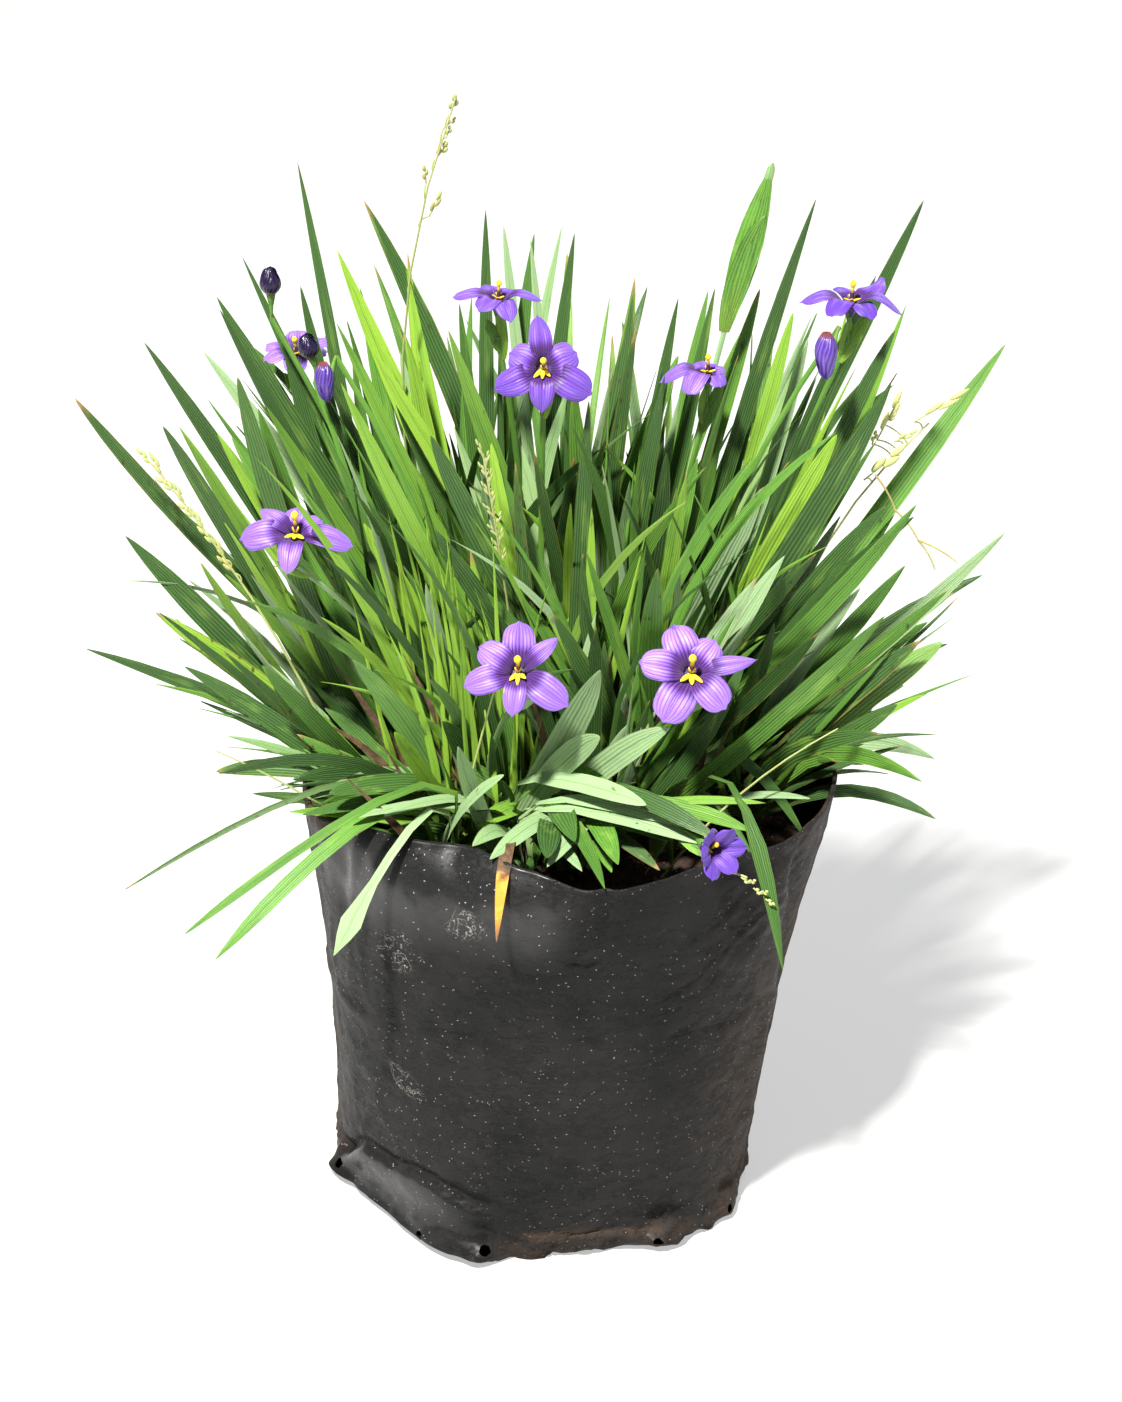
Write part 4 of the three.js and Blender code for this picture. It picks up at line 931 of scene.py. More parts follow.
def tepal_outline(share):
    opening = 0.36 + 0.64 * math.sin(min(1, share / 0.6) * math.pi / 2) ** 1.3
    return opening * math.sqrt(max(0.0, 1 - max(0.0, (share - 0.6) / 0.4) ** 2.8))


bpy.ops.object.select_all(action="DESELECT")
bpy.ops.mesh.primitive_grid_add(x_subdivisions=10, y_subdivisions=TEPAL_ROWS, size=1)
tepal_shape = named("tepal_shape")
rows = []
for across, along, _ in spots_of(tepal_shape):
    share = math.sin((along + 0.5) * math.pi / 2) ** 0.9
    wide = max(0.05, tepal_outline(share))
    rows.append((across * wide, 0, share + (0.035 if share > 0.999 else 0)))
move_spots(tepal_shape, rows)
only(tepal_shape)
bpy.ops.object.modifier_add(type="SOLIDIFY")
tepal_shape.modifiers[0].thickness = 1.0
tepal_shape.modifiers[0].offset = 0.0
bpy.ops.object.modifier_apply(modifier=tepal_shape.modifiers[0].name)
thinned = spots_of(tepal_shape)
for spot in thinned:
    rim = 2 * abs(spot[0]) / max(0.05, tepal_outline(min(1, spot[2])))
    spot[1] *= (1 - 0.75 * min(1, rim) ** 4) * (1 - 0.6 * spot[2] ** 4)
move_spots(tepal_shape, thinned)
tidy_faces(tepal_shape)
mark_shape(tepal_shape)
print("tepal faces:", len(tepal_shape.data.polygons))

# %% [markdown]
# ## The violet of the tepals
# The tepals are light violet with fine darker veins, a nearly black violet throat and a
# silky sheen, part of which is a painted pale band on each side of the middle. The dark of
# the throat is a ramp along the tepal, and the veins read the UV map, so they spread from the
# foot.

# %% Tepal finish
tepal_violet = Finish("tepal_violet", Subsurface_Weight=0.2, Subsurface_Radius=(0.7, 0.4, 1.0),
                      Subsurface_Scale=0.001, Specular_IOR_Level=0.35, Sheen_Weight=0.15)
u, v = tepal_violet.along()
hue, age, chance = tepal_violet.tint()
silk = tepal_violet.noise(tepal_violet.place(), 700, 3)
vein = (u * 56 + silk * 1.6 + chance * 6).stripes().between(0.5, 1.0)
middle_vein = abs(u - 0.5).between(0.035, 0.0)
off_middle = abs(u - 0.5)
# A pale band on each side of the middle, away from the throat: a painted sheen.
painted_sheen = off_middle.between(0.12, 0.2) * off_middle.between(0.34, 0.24)
painted_sheen = painted_sheen * v.between(0.25, 0.5) * v.between(0.9, 0.6)
violet = tepal_violet.mix(hue, rgb(0.088, 0.03, 0.36), rgb(0.3, 0.16, 0.62))
violet = tepal_violet.mix(painted_sheen * (hue * 0.3 + 0.16), violet, rgb(0.5, 0.36, 0.84))
violet = tepal_violet.mix(vein * 0.55, violet, rgb(0.1, 0.024, 0.38))
violet = tepal_violet.mix(middle_vein * 0.5, violet, rgb(0.1, 0.02, 0.3))
violet = tepal_violet.mix(v.between(0.82, 0.38) * (vein * 0.6 + 0.3), violet, rgb(0.1, 0.01, 0.28))
violet = tepal_violet.mix(v.between(0.6, 0.36) * (vein * 0.25 + 0.75), violet, rgb(0.036, 0.002, 0.085))
violet = tepal_violet.mix(v.between(0.95, 1.03) * 0.4, violet, rgb(0.12, 0.04, 0.3))
violet = tepal_violet.mix(age, violet, rgb(0.03, 0.006, 0.06))
tepal_violet.link(Base_Color=violet, Roughness=silk * 0.2 + 0.34,
                  Normal=tepal_violet.bump(vein * -0.6 + middle_vein * -1.0 + silk * 0.3, 0.4, 0.0004))
print(tepal_violet.material.name, "nodes:", len(tepal_violet.tree.nodes))

# %% [markdown]
# ## The flowers
# The three outer tepals lie a little behind the three inner ones. Their feet stand round
# a deep dark bowl over the ovary, and each end curls back by its own amount.

# %% Flowers
TEPAL_LENGTH = 13.4
TEPAL_WIDTH = 9.2


def turned_to(looks, degrees):
    """A direction in the plane that faces the way a flower looks."""
    turn = Vector((0, 0, 1)).rotation_difference(Vector(looks))
    angle = math.radians(degrees)
    return np.array(turn @ Vector((math.cos(angle), math.sin(angle), 0)))


def tepal_relief(width, length, curl, draw):
    wave, push = 0.7 * (draw() - 0.5), draw() * 6

    def relief(across, share):
        share = np.clip(share, 0, 1)
        bowl = 0.46 * length * (1 - (1 - share) ** 3 - share)
        cup = (1.0 - 1.8 * share) * across**2 * width
        groove = -0.28 * np.exp(-((across / 0.06) ** 2))
        bend = -curl * length * np.maximum(0, share - 0.5) ** 2 * 1.9
        ruffle = wave * np.sin(across * 9 + push) * share * 1.3
        return bowl + cup + groove + bend + ruffle

    return relief


for number, flower in enumerate(FLOWERS):
    draw = seeded(55000 + number)
    at, looks = np.array(flower["at"], float), unit(flower["looks"])
    size = flower["size"]
    grown = []
    for step, (degrees, long, wide, curl, point) in enumerate(flower["tepals"]):
        inner = step % 2
        length = TEPAL_LENGTH * size * long
        width = TEPAL_WIDTH * size * wide
        out = turned_to(looks, degrees)
        rise = math.radians(flower["open"]) + 0.1 * inner
        tip = at + out * length * math.cos(rise) + looks * (length * math.sin(rise) - 0.6)
        root = at + out * 1.5 - looks * (3.4 - 0.4 * inner) * size
        line = Line(root, tip, 0, 0, looks, 0.4 * (draw() - 0.5))
        narrowed = lambda share, width=width, point=point: width * (1 - point * np.clip(share, 0, 1) ** 3)
        petal = lay(copy_of(tepal_shape), line, narrowed, 0.5, tepal_relief(width, length, curl, draw))
        shade = flower["shade"] + 0.2 * (draw() - 0.5)
        grown.append(give_tint(petal, min(1, max(0, shade)), 0.12 * draw(), draw()))
    ovary, throat = at - looks * 6 * size, at - looks * 2.4 * size
    grown.append(thread_on(ovary, throat, 0, (1.8, 2.4, 3.2, 4.4, 4.6), 0.1, 0.8))
    flower_piece = joined(grown, f"tepals_{number + 1:02d}")
    finished(flower_piece, tepal_violet, [f"petals_{number + 1:02d}"], angle=70)
print("last flower's faces:", len(flower_piece.data.polygons))

# %% [markdown]
# ## The yellow eye
# The filaments are joined into a violet column that leans upwards and carries a yellow
# knob. Below it three anthers spread like a small fan, bright yellow with orange dust.

# %% Eye finish and eyes
pollen_yellow = Finish("pollen_yellow", Subsurface_Weight=0.1, Subsurface_Radius=(1.0, 0.7, 0.1),
                       Subsurface_Scale=0.0005)
grain = pollen_yellow.noise(pollen_yellow.place(), 2600, 2, 0.6)
_, v = pollen_yellow.along()
_, age, _ = pollen_yellow.tint()
yellow = pollen_yellow.mix(grain.between(0.35, 0.7), rgb(0.92, 0.52, 0.01), rgb(0.98, 0.78, 0.04))
yellow = pollen_yellow.mix(age * v.between(0.9, 0.5), yellow, rgb(0.03, 0.005, 0.06))
pollen_yellow.link(Base_Color=yellow, Roughness=grain * 0.3 + 0.5,
                   Normal=pollen_yellow.bump(grain, 0.6, 0.0004))


def pod_on(root, tip, width, hue=0.5, age=0.0, face=(0, -1, 0.2), flat=1.0):
    pod = lay(copy_of(pod_shape), Line(root, tip, 0, 0, face), width, width * flat)
    return give_tint(pod, hue, age, 0.5)


for number, flower in enumerate(FLOWERS):
    at, looks = np.array(flower["at"], float), unit(flower["looks"])
    size = 0.88 * flower["size"]
    up = unit(UP - looks * looks[2] + looks * 0.02)
    lean = unit(looks + up * (0.62 if looks[2] < 0.9 else 0.0))
    draw = seeded(55500 + number)
    foot = at - looks * 2.4 * size
    knob = at + lean * 4.6 * size
    column = Line(foot, knob, 0, 0, (0.3, -1, 0.1))
    narrow = lambda share: (1.7 - 0.7 * share) * size
    grown = [give_tint(lay(copy_of(stalk_shape), column, narrow, narrow), 0.5, 1.0, 0.5)]
    grown.append(pod_on(knob - lean * 1.1 * size, knob + lean * 1.5 * size, 2.2 * size))
    for swing in (-46, -3, 41):
        out = turned_to(looks, -90 + swing + 8 * (draw() - 0.5))
        long = (3.7 + 1.2 * (draw() - 0.5)) * size
        tip = at + looks * (0.4 + 0.7 * draw()) * size + out * long
        start = at - looks * 1.5 * size + out * 0.2
        width = (1.25 + 0.35 * draw()) * size
        grown.append(pod_on(start, tip, width, face=looks, flat=0.6))
    for degrees in (50, 130):
        out = turned_to(looks, degrees)
        grown.append(pod_on(at - looks * size, at + looks * 0.6 * size + out * 1.4 * size, size, age=0.6))
    eye_piece = joined(grown, f"eye_column_{number + 1:02d}")
    finished(eye_piece, pollen_yellow, [f"eye_{number + 1:02d}"], angle=70)
print("last eye's faces:", len(eye_piece.data.polygons))

# %% [markdown]
# ## Buds and faded flowers
# After a day a flower rolls itself up. The two upper buds are nearly black and shiny, like
# drops, and the two that hang are violet. They hang a little higher and further left than
# their solids do. A pod is twisted as it is laid, and copies of the tepal are wrapped round
# it to give the folds.

# %% Bud finish and buds
bud_violet = Finish("bud_violet", Coat_Roughness=0.1, Specular_IOR_Level=0.3)
u, v = bud_violet.along()
hue, age, _ = bud_violet.tint()
crease = (u * 22 + v * 9).stripes()
fine = bud_violet.noise(bud_violet.place(), 900, 3)
dark = bud_violet.mix(hue, rgb(0.006, 0.003, 0.014), rgb(0.06, 0.022, 0.22))
dark = bud_violet.mix(crease * hue * 0.5, dark, rgb(0.22, 0.14, 0.55))
dark = bud_violet.mix(v.between(0.2, 0.02) * age, dark, rgb(0.16, 0.04, 0.03))
bud_violet.link(Base_Color=dark, Roughness=fine * 0.2 + 0.2, Coat_Weight=fine * 0.2 + 0.15,
                Normal=bud_violet.bump(crease * 0.6 + fine * 0.4, 0.5, 0.0005))

HANGING_SHIFT = (-2, 0, 5.5)
for number, bud in enumerate(BUDS):
    draw = seeded(56000 + number)
    at, points = np.array(bud["at"], float), unit(bud["points"])
    hangs = points[2] < 0
    at = at + HANGING_SHIFT if hangs else at
    foot, head = at - points * bud["length"] / 2, at + points * bud["length"] / 2
    hue = 1.0 if number == 3 else 0.75 if hangs else 0.05
    core = Line(foot, head, 0, 0, (0, -1, 0.2), 1.2)
    grown = [give_tint(lay(copy_of(pod_shape), core, bud["width"] * 0.8, bud["width"] * 0.76), hue, 1, 0.5)]
    for petal in range(6):
        angle = petal * 60 + 20 * draw()
        out = turned_to(points, angle)
        line = Line(foot + out * 0.6, head + out * 0.5 + points * (0.4 * draw()), 0, 0, out, 0.9)
        swell = bud["width"] * 0.44
        relief = lambda across, share, swell=swell: swell * np.sin(np.pi * np.clip(share, 0.02, 1) ** 0.8) \
            - 1.6 * across**2 * swell
        wrap = lay(copy_of(tepal_shape), line, bud["width"] * 0.78, 0.4, relief)
        grown.append(give_tint(wrap, hue * (0.8 + 0.2 * draw()), 1, draw()))
    bud_piece = joined(grown, f"bud_folds_{number + 1:02d}")
    finished(bud_piece, bud_violet, [f"bud_{number + 1:02d}"], angle=70)
print("last bud's faces:", len(bud_piece.data.polygons))

# %% [markdown]
# ## Short leaves at the front
# At the foot of the clump short leaves lie across each other in the shade. They are too
# small and too many for the solids. A rule spreads them over the front of the crown, some
# low and some steep, and leaves the soil at the right bare.

# %% Short leaves
SHORT_TRIES = 56
short_leaves = []
for index in range(SHORT_TRIES):
    draw = seeded(62000 + index)
    root = np.array((-40 + 84 * draw(), -32 + 26 * draw(), 113.5 + 3 * draw()))
    heading = math.radians(-90 + 170 * (draw() - 0.5))
    rise = math.radians(14 + 58 * draw() ** 1.3)
    length = 16 + 24 * draw()
    out = np.array((math.cos(heading), math.sin(heading), 0))
    tip = root + out * length * math.cos(rise) + UP * length * math.sin(rise)
    tip[1] = max(tip[1], -60)
    if tip[0] > 4 and tip[2] < 138:
        continue
    face = unit(UP + 1.6 * (draw() - 0.5) * np.cross(out, UP) - out * 0.35)
    line = Line(root, tip, 2 + 5 * draw(), 7 * (draw() - 0.5), face, 2.0 * (draw() - 0.5))
    leaf = lay(copy_of(blade_shape), line, 1.8 + 2.6 * draw(), 0.8, cupped(4))
    short_leaves.append(give_tint(leaf, 0.7 * draw() ** 1.3, 0.25 + 0.6 * draw(), 0.9 * draw()))
print("short leaves:", len(short_leaves))

# %% [markdown]
# ## Stray leaves
# In a real clump few leaves keep to their fan. Narrow stray ones lean across the others in
# all directions, which makes it a tangle. Each starts at the crown of a fan that chance
# names, and leans its own way.

# %% Stray leaves
STRAY_LEAVES = 90
for index in range(STRAY_LEAVES):
    draw = seeded(68000 + index)
    fan = FANS[int(draw() * UPRIGHT_FANS)]
    root = crown_spot(fan, 10 * (draw() - 0.5), 3 * (draw() - 0.5))
    lean = np.array((0.5 * fan["at"][0] * draw() + 96 * (draw() - 0.5), 6 - 38 * draw(), 58 + 74 * draw()))
    face = unit((1.1 * (draw() - 0.5), -1, 0.4))
    line = Line(root, root + lean, 4 + 16 * draw(), 16 * (draw() - 0.5), face, 1.8 * (draw() - 0.5))
    shape = needle_shape if draw() < 0.5 else blade_shape
    leaf = lay(copy_of(shape), line, 1.7 + 2.6 * draw(), 0.8, cupped(4))
    short_leaves.append(give_tint(leaf, 0.9 * draw() ** 1.4, draw() ** 2, draw()))
print("short and stray leaves:", len(short_leaves))

# %% [markdown]
# ## Leaves seen one by one
# The leaves of the foreground are plain to see in the photograph. They are pale grey green,
# partly a painted sunlit sheen, flat and blunt. They rise from the crown, arch over and lie
# across each other, and one broad one lies right across the middle, so they are listed one
# by one. A row gives: root, tip, bow, sway, width, hue, chance and shape. Those with a high
# bow bend early, and the highest ones stand on a narrow stalk.

# %% Single leaves of the foreground
SINGLES = [
    ((-10, -24, 118), (24, -57, 150), 19, 4, 6.6, 0.3, 0.97, blunt_shape),
    ((-14, -30, 117), (8, -59, 137), 13, -2, 5.6, 0.4, 0.95, blade_shape),
    ((4, -34, 117), (-20, -67, 138), 14, 2, 5.2, 0.45, 0.94, blade_shape),
    ((8, -34, 117), (-4, -66, 135), 14, -2, 4.6, 0.45, 0.94, blade_shape),
    ((-8, -34, 117), (6, -63, 132), 12, 1, 4.6, 0.5, 0.93, blade_shape),
    ((-16, -24, 118), (11, -50, 168), 5, -3, 7.6, 0.25, 0.93, blunt_shape),
    ((-18, -22, 120), (11, -46, 187), 0, -3, 8.4, 0.15, 0.92, blade_shape),
    ((-8, -24, 120), (31, -44, 168), 4, -2, 7.6, 0.3, 0.94, blade_shape),
    ((-16, -34, 117), (-29, -50, 165), 0, 2, 5.4, 0.45, 0.93, blade_shape),
    ((-36, -34, 118), (-16, -54, 158), 3, 2, 5.0, 0.35, 0.94, blunt_shape),
    ((-12, -38, 118), (-25, -61, 139), 8, 0, 5.4, 0.5, 0.92, blade_shape),
    ((-20, -26, 118), (-50, -56, 146), 12, 2, 4.6, 0.4, 0.94, blunt_shape),
    ((14, -36, 118), (58, -52, 148), 14, 1, 2.8, 0.7, 0.6, blade_shape),
    ((-12, -34, 118), (41, -62, 140), 17, 2, 6.6, 0.4, 0.95, blade_shape),
    ((-10, -32, 118), (39, -58, 143), 18, 3, 4.8, 0.35, 0.94, blade_shape),
    ((6, -38, 120), (41, -64, 139), 13, -2, 3.8, 0.5, 0.7, blade_shape),
    ((-26, -24, 118), (-74, -46, 141), 12, 0, 5.0, 0.15, 0.5, blade_shape),
    ((-30, -22, 120), (-66, -46, 148), 13, 0, 6.4, 0.1, 0.6, blunt_shape),
    ((-34, -20, 120), (-72, -38, 142), 16, 3, 5.0, 0.2, 0.9, blade_shape),
    ((-24, -30, 118), (-60, -52, 143), 14, -2, 4.4, 0.3, 0.93, blade_shape),
    ((4, -32, 118), (30, -58, 139), 12, 2, 3.8, 0.2, 0.5, blade_shape),
]
for index, (root, tip, bow, sway, width, hue, chance, shape) in enumerate(SINGLES):
    draw = seeded(63000 + index)
    flat = unit((0.3 * (draw() - 0.5), -0.5, 1)) if tip[2] < 160 else unit((0.1, -0.95, 0.45))
    line = Line(root, tip, bow, sway, flat, 0.7 * (draw() - 0.5), 0.55 if bow > 10 else 1.0)
    wide = lambda share, width=width: width * (0.3 + 0.7 * np.clip((share - 0.36) / 0.1, 0, 1))
    leaf = lay(copy_of(shape), line, wide if bow > 15 else width, 0.9, cupped(width * 1.2))
    # A high chance gives the pale green, partly a painted sheen.
    short_leaves.append(give_tint(leaf, hue, 0.5 * draw(), chance))
print("single leaves:", len(SINGLES))

# %% [markdown]
# ## Young leaves
# Left of the middle a thicket of young leaves stands in the light, bright green and slender
# as needles. A rule sows them over that part of the crown. Then the short, stray, single
# and young leaves become one piece.

# %% Young leaves
YOUNG_LEAVES = 64
for index in range(YOUNG_LEAVES):
    draw = seeded(67000 + index)
    root = np.array((-46 + 36 * draw() ** 0.8, -24 + 30 * draw(), 114.5))
    lean = np.array((0.3 * root[0] * draw() + 16 * (draw() - 0.5), -14 * draw() ** 2, 46 + 62 * draw()))
    bow, sway = 5 * draw(), 5 * (draw() - 0.5)
    face = (0.5 * (draw() - 0.5), -1, 0.3)
    line = Line(root, root + lean, bow, sway, face, draw() - 0.5)
    leaf = lay(copy_of(needle_shape), line, 1.3 + 1.2 * draw(), 0.6)
    short_leaves.append(give_tint(leaf, 0.75 + 0.3 * draw(), 0.2, 0.4))
finished(joined(short_leaves, "short_leaves"), leaf_green)
print("leaves outside the fans:", len(short_leaves))

# %% [markdown]
# ## Grass heads
# Some wild grass has seeded itself in the pot. Its stalks are thin as thread, and its heads
# are loose rows of spikelets. They are straw yellow with fine nerves, and brown in places.

# %% Grass finish
grass_straw = Finish("grass_straw", Subsurface_Weight=0.2, Subsurface_Radius=(0.8, 1.0, 0.3),
                     Subsurface_Scale=0.0008)
u, v = grass_straw.along()
hue, age, _ = grass_straw.tint()
nerve = (u * 40).stripes()
cloud = grass_straw.noise(grass_straw.place(), 160, 3)
straw = grass_straw.mix(hue, rgb(0.17, 0.29, 0.05), rgb(0.5, 0.52, 0.17))
straw = grass_straw.mix(nerve * 0.4, straw, rgb(0.62, 0.64, 0.34))
straw = grass_straw.mix(age * cloud.between(0.4, 0.6), straw, rgb(0.42, 0.24, 0.08))
straw = grass_straw.mix(v.between(0.8, 1.0) * 0.4, straw, rgb(0.6, 0.5, 0.28))
grass_straw.link(Base_Color=straw, Roughness=cloud * 0.2 + 0.45,
                 Normal=grass_straw.bump(nerve + cloud * 0.5, 0.4, 0.0003))
print(grass_straw.material.name, "nodes:", len(grass_straw.tree.nodes))

# %% [markdown]
# ## The heads, one by one
# A row gives: the foot, top and bow of the stalk on its solid, how much more it bows and
# sways here, how much of it is laid, hue, age, and its spikelets. Where the photograph shows
# them apart, they are listed by start, tip and width. Elsewhere a rule draws them, by how
# far down they reach, their number, size and spread. Each spikelet is three scales that
# overlap, so the pod shape is copied in a short zigzag.

# %% Grass heads
GRASSES = [
    ((-20, 53), (-30, 40, 326), -6, (-8.6, 14), 1, 0.1, 0.35, [
        ((-31.5, 43, 320.6), (-29.6, 40, 327), 2.2),
        ((-33, 43, 317), (-29.8, 42, 319.6), 1.3),
        ((-33, 43, 313.6), (-31.4, 43, 317), 1.4),
        ((-36, 44, 307), (-32.2, 42, 312.5), 2.2),
        ((-39, 44, 299.6), (-39.2, 43, 305.5), 1.6),
        ((-38.3, 43, 290), (-34.2, 41, 298), 1.7)]),
    ((62, 29), (118, 20, 245), 16, (0, 0), 0.9, 0.6, 0.2, [
        ((92.1, 20, 229.7), (98.9, 19, 245.3), 2.4),
        ((93.4, 20, 234.7), (97.5, 19, 238.2), 1.7),
        ((90.7, 20, 228.4), (91.9, 19, 232.9), 1.6),
        ((102.6, 20, 235.3), (118.3, 19, 245.6), 2.2),
        ((97.1, 20, 229.1), (103.8, 19, 232.9), 1.7),
        ((88.8, 20, 217.1), (100.8, 19, 228.2), 3.2)]),
    ((-58, -4), (-118, 6, 228), 6, (0, 0), 1, 0.3, 0.2, (0.34, 9, 0.75, 0.2)),
    ((-10, 9), (-22, -12, 238), 3, (0, 0), 1, 0.25, 0.1, (0.3, 12, 0.5, 0.5)),
]
print("grass heads:", len(GRASSES))

# %% [markdown]
# ## Spikelets
# The scales of a spikelet lean to one side and the other in turn. The second head has a
# stalk that snapped below its spikelets, and its loose end hangs down in bent threads.

# %% Spikelets
SNAPPED_STALK = [
    ((92, 20, 218.7), (98.3, 20, 207.6)), ((98.3, 20, 207.6), (105.5, 20, 198)),
    ((105.5, 20, 198), (117.7, 20, 190.6)), ((105.5, 20, 198), (111, 20, 188.3))]


def spikelet(start, tip, size, draw, tone, age):
    """Three scales one above the other, each turned a little aside."""
    way, scales = tip - start, []
    side = unit(np.cross(way, (0, -1, 0.2)))
    for step in range(3):
        foot = start + way * (0.2 + 0.22 * step) + side * 0.35 * (1 if step % 2 else -1) * size
        lean = side * (0.5 if step % 2 else -0.5) * (1 - 0.45 * step) * size
        head = foot + way * (0.36 + 0.05 * draw()) + lean
        hue = tone + 0.35 * draw()
        scales.append(pod_on(foot, head, 1.45 * size, hue=hue, age=age * draw() * 2, flat=0.8))
    scales.append(thread_on(start, start + way * 0.5, 0, (0.5, 0.45), hue=0.5, age=0.2))
    return scales


def spikelets_by_rule(line, bears, count, size, spread, draw):
    """Starts, tips and widths of spikelets that alternate along the upper part of a stalk."""
    for step in range(count):
        spots, tangents, faces = (rows[0] for rows in line.at(1 - bears * step / count))
        lean = (1 if step % 2 else -1) * spread * (0.5 + draw()) * (0.3 if step == 0 else 1)
        way = unit(tangents + np.cross(tangents, faces) * lean)
        yield spots - tangents * 1.2, spots + way * (8 + 3 * draw()) * size, 2.1 * size


# %% [markdown]
# ## Stalks and their spikelets
# A spikelet that stands away from its stalk gets a thread, from the nearest place of the
# stalk that lies a little lower.

# %% Heads on their stalks
for number, (foot, top, bow, bend, long, tone, age, bears) in enumerate(GRASSES):
    node = f"grass_head_{number + 1}"
    root = (*foot, ROOT_LEVEL)
    seed = 8000 + number * 64
    line, draw = stem_found(solid_spots(node), root, top, bow, (0, -1, 0.2), seed, 1.5, 1.5)
    line.bow += bend[0]
    line.sway += bend[1]
    thin = lambda share: 1.1 - 0.6 * share
    grown = [give_tint(lay(copy_of(stalk_shape), line, thin, thin, end=long), tone + 0.1, 0.2, 0.5)]
    if isinstance(bears, tuple):
        bears = list(spikelets_by_rule(line, *bears, draw))
    for start, tip, width in bears:
        start, tip = np.array(start, float), np.array(tip, float)
        near = line.at(np.linspace(0.4, long, 60))[0]
        below = near[near[:, 2] < start[2] - 2]
        joint = below[np.argmin(np.linalg.norm(below - start, axis=1))]
        if np.linalg.norm(joint - start) > 1.5:
            grown.append(thread_on(joint, start, 0.8, (0.5, 0.45, 0.5), hue=tone, age=0.2))
        grown += spikelet(start, tip, width / 2.1, draw, tone, age)
    for ends in SNAPPED_STALK if number == 1 else ():
        grown.append(thread_on(*ends, 0.6, (0.75, 0.6, 0.55), hue=0.8, age=0.6))
    head_piece = joined(grown, f"grass_{number + 1}")
    finished(head_piece, grass_straw, [node], angle=70)
print("last grass head's faces:", len(head_piece.data.polygons))

# %% [markdown]
# ## A sprig and seedlings
# A tiny grass sprig shows beside the half-open flower, and thread-thin seedlings stand
# among the leaves.

# %% Sprig and seedlings
SEEDLINGS = 12
sprig = [thread_on((38, -52, 118), (52, -70, 134), 4, (0.8, 0.7, 0.6), hue=0.6)]
for step in range(5):
    draw = seeded(64000 + step)
    foot = np.array((50.5, -69, 133.5)) + np.array((1.3, -0.8, -0.9)) * step * 1.3
    sprig += spikelet(foot, foot + np.array((2.4, -1.6, -1.2 + 2.6 * (step % 2))), 0.62, draw, 0.4, 0.1)
for step in range(SEEDLINGS):
    draw = seeded(65000 + step)
    root = np.array((-50 + 110 * draw(), -34 + 70 * draw(), 114))
    lean = np.array(((draw() - 0.5) * 70 + root[0] * 0.5, (draw() - 0.6) * 34, 40 + 50 * draw()))
    bow, hue, age = 5 * draw(), 0.1 + 0.4 * draw(), 0.3 * draw()
    sprig.append(thread_on(root, root + lean, bow, (0.9, 0.8, 0.6, 0.4), hue=hue, age=age))
finished(joined(sprig, "grass_sprigs"), grass_straw, angle=70)
print("seedlings:", SEEDLINGS)

# %% [markdown]
# ## Dead leaves
# One dead leaf hangs over the rim, brown where it leaves the clump and bright orange
# towards its tip. The hue of its tint brings the orange, so the dry ones in the depth of
# the clump can stay brown.

# %% Dead leaf finish
dead_brown = Finish("dead_brown", Subsurface_Weight=0.15, Subsurface_Radius=(1.0, 0.5, 0.1),
                    Subsurface_Scale=0.001)
place = dead_brown.place()
u, v = dead_brown.along()
hue, _, _ = dead_brown.tint()
blotch = dead_brown.noise(place, 260, 4, 0.6)
nerve = (u * 66 + blotch).stripes()
brown = dead_brown.mix(blotch.between(0.35, 0.65), rgb(0.035, 0.018, 0.011), rgb(0.15, 0.085, 0.045))
orange = dead_brown.mix(blotch.between(0.4, 0.7), rgb(0.78, 0.3, 0.02), rgb(0.9, 0.5, 0.08))
dry = dead_brown.mix((v + blotch * 0.12).between(0.8, 0.86) * hue, brown, orange)
dry = dead_brown.mix(v.between(0.9, 0.99) * hue, dry, rgb(0.22, 0.1, 0.04))
dry = dead_brown.mix(nerve * 0.2, dry, rgb(0.36, 0.22, 0.1))
dead_brown.link(Base_Color=dry, Roughness=blotch * 0.2 + 0.55,
                Normal=dead_brown.bump(nerve * 0.5 + blotch, 0.5, 0.0006))
print(dead_brown.material.name, "nodes:", len(dead_brown.tree.nodes))

# %% [markdown]
# ## The leaf over the rim, and the dry ones
# The hanging leaf has curled in along its middle. The dry ones are needle thin, and stick
# up between the fans from their crowns.

# %% Dead leaves
hung = Line((-12, -36, ROOT_LEVEL), (-18, -84, 121), 21, 0, (0.2, -0.4, 1), 0.2)
curled = lambda across, share: 3.2 * across**2 + 0.6 * np.sin(share * 17)
hung_leaf = give_tint(lay(copy_of(blade_shape), hung, 3.8, 0.8, curled), 1.0, 0.5, 0.5)
finished(hung_leaf, dead_brown, ["dead_leaf"])
hung_leaf.name = "hanging_dead_leaf"
DRY_LEAVES = 34
dry_leaves = []
for step in range(DRY_LEAVES):
    draw = seeded(66000 + step)
    fan = FANS[int(draw() * FRONT_FANS)]
    root = crown_spot(fan, 12 * (draw() - 0.5), 3 * (draw() - 0.5))
    lean = np.array((1.1 * fan["at"][0] * draw() + 26 * (draw() - 0.5), 22 * (draw() - 0.7), 0))
    tip = root + lean + UP * (8 + 62 * draw() ** 1.6)
    line = Line(root, tip, 4 * draw(), 9 * (draw() - 0.5), face_of(fan), 2.4 * (draw() - 0.5))
    width = 1.2 + 1.9 * draw()
    leaf = lay(copy_of(needle_shape), line, width, 0.7, lambda across, share: 3.0 * across**2)
    dry_leaves.append(give_tint(leaf, 0.0 if draw() < 0.85 else 0.6, 0.5, draw()))
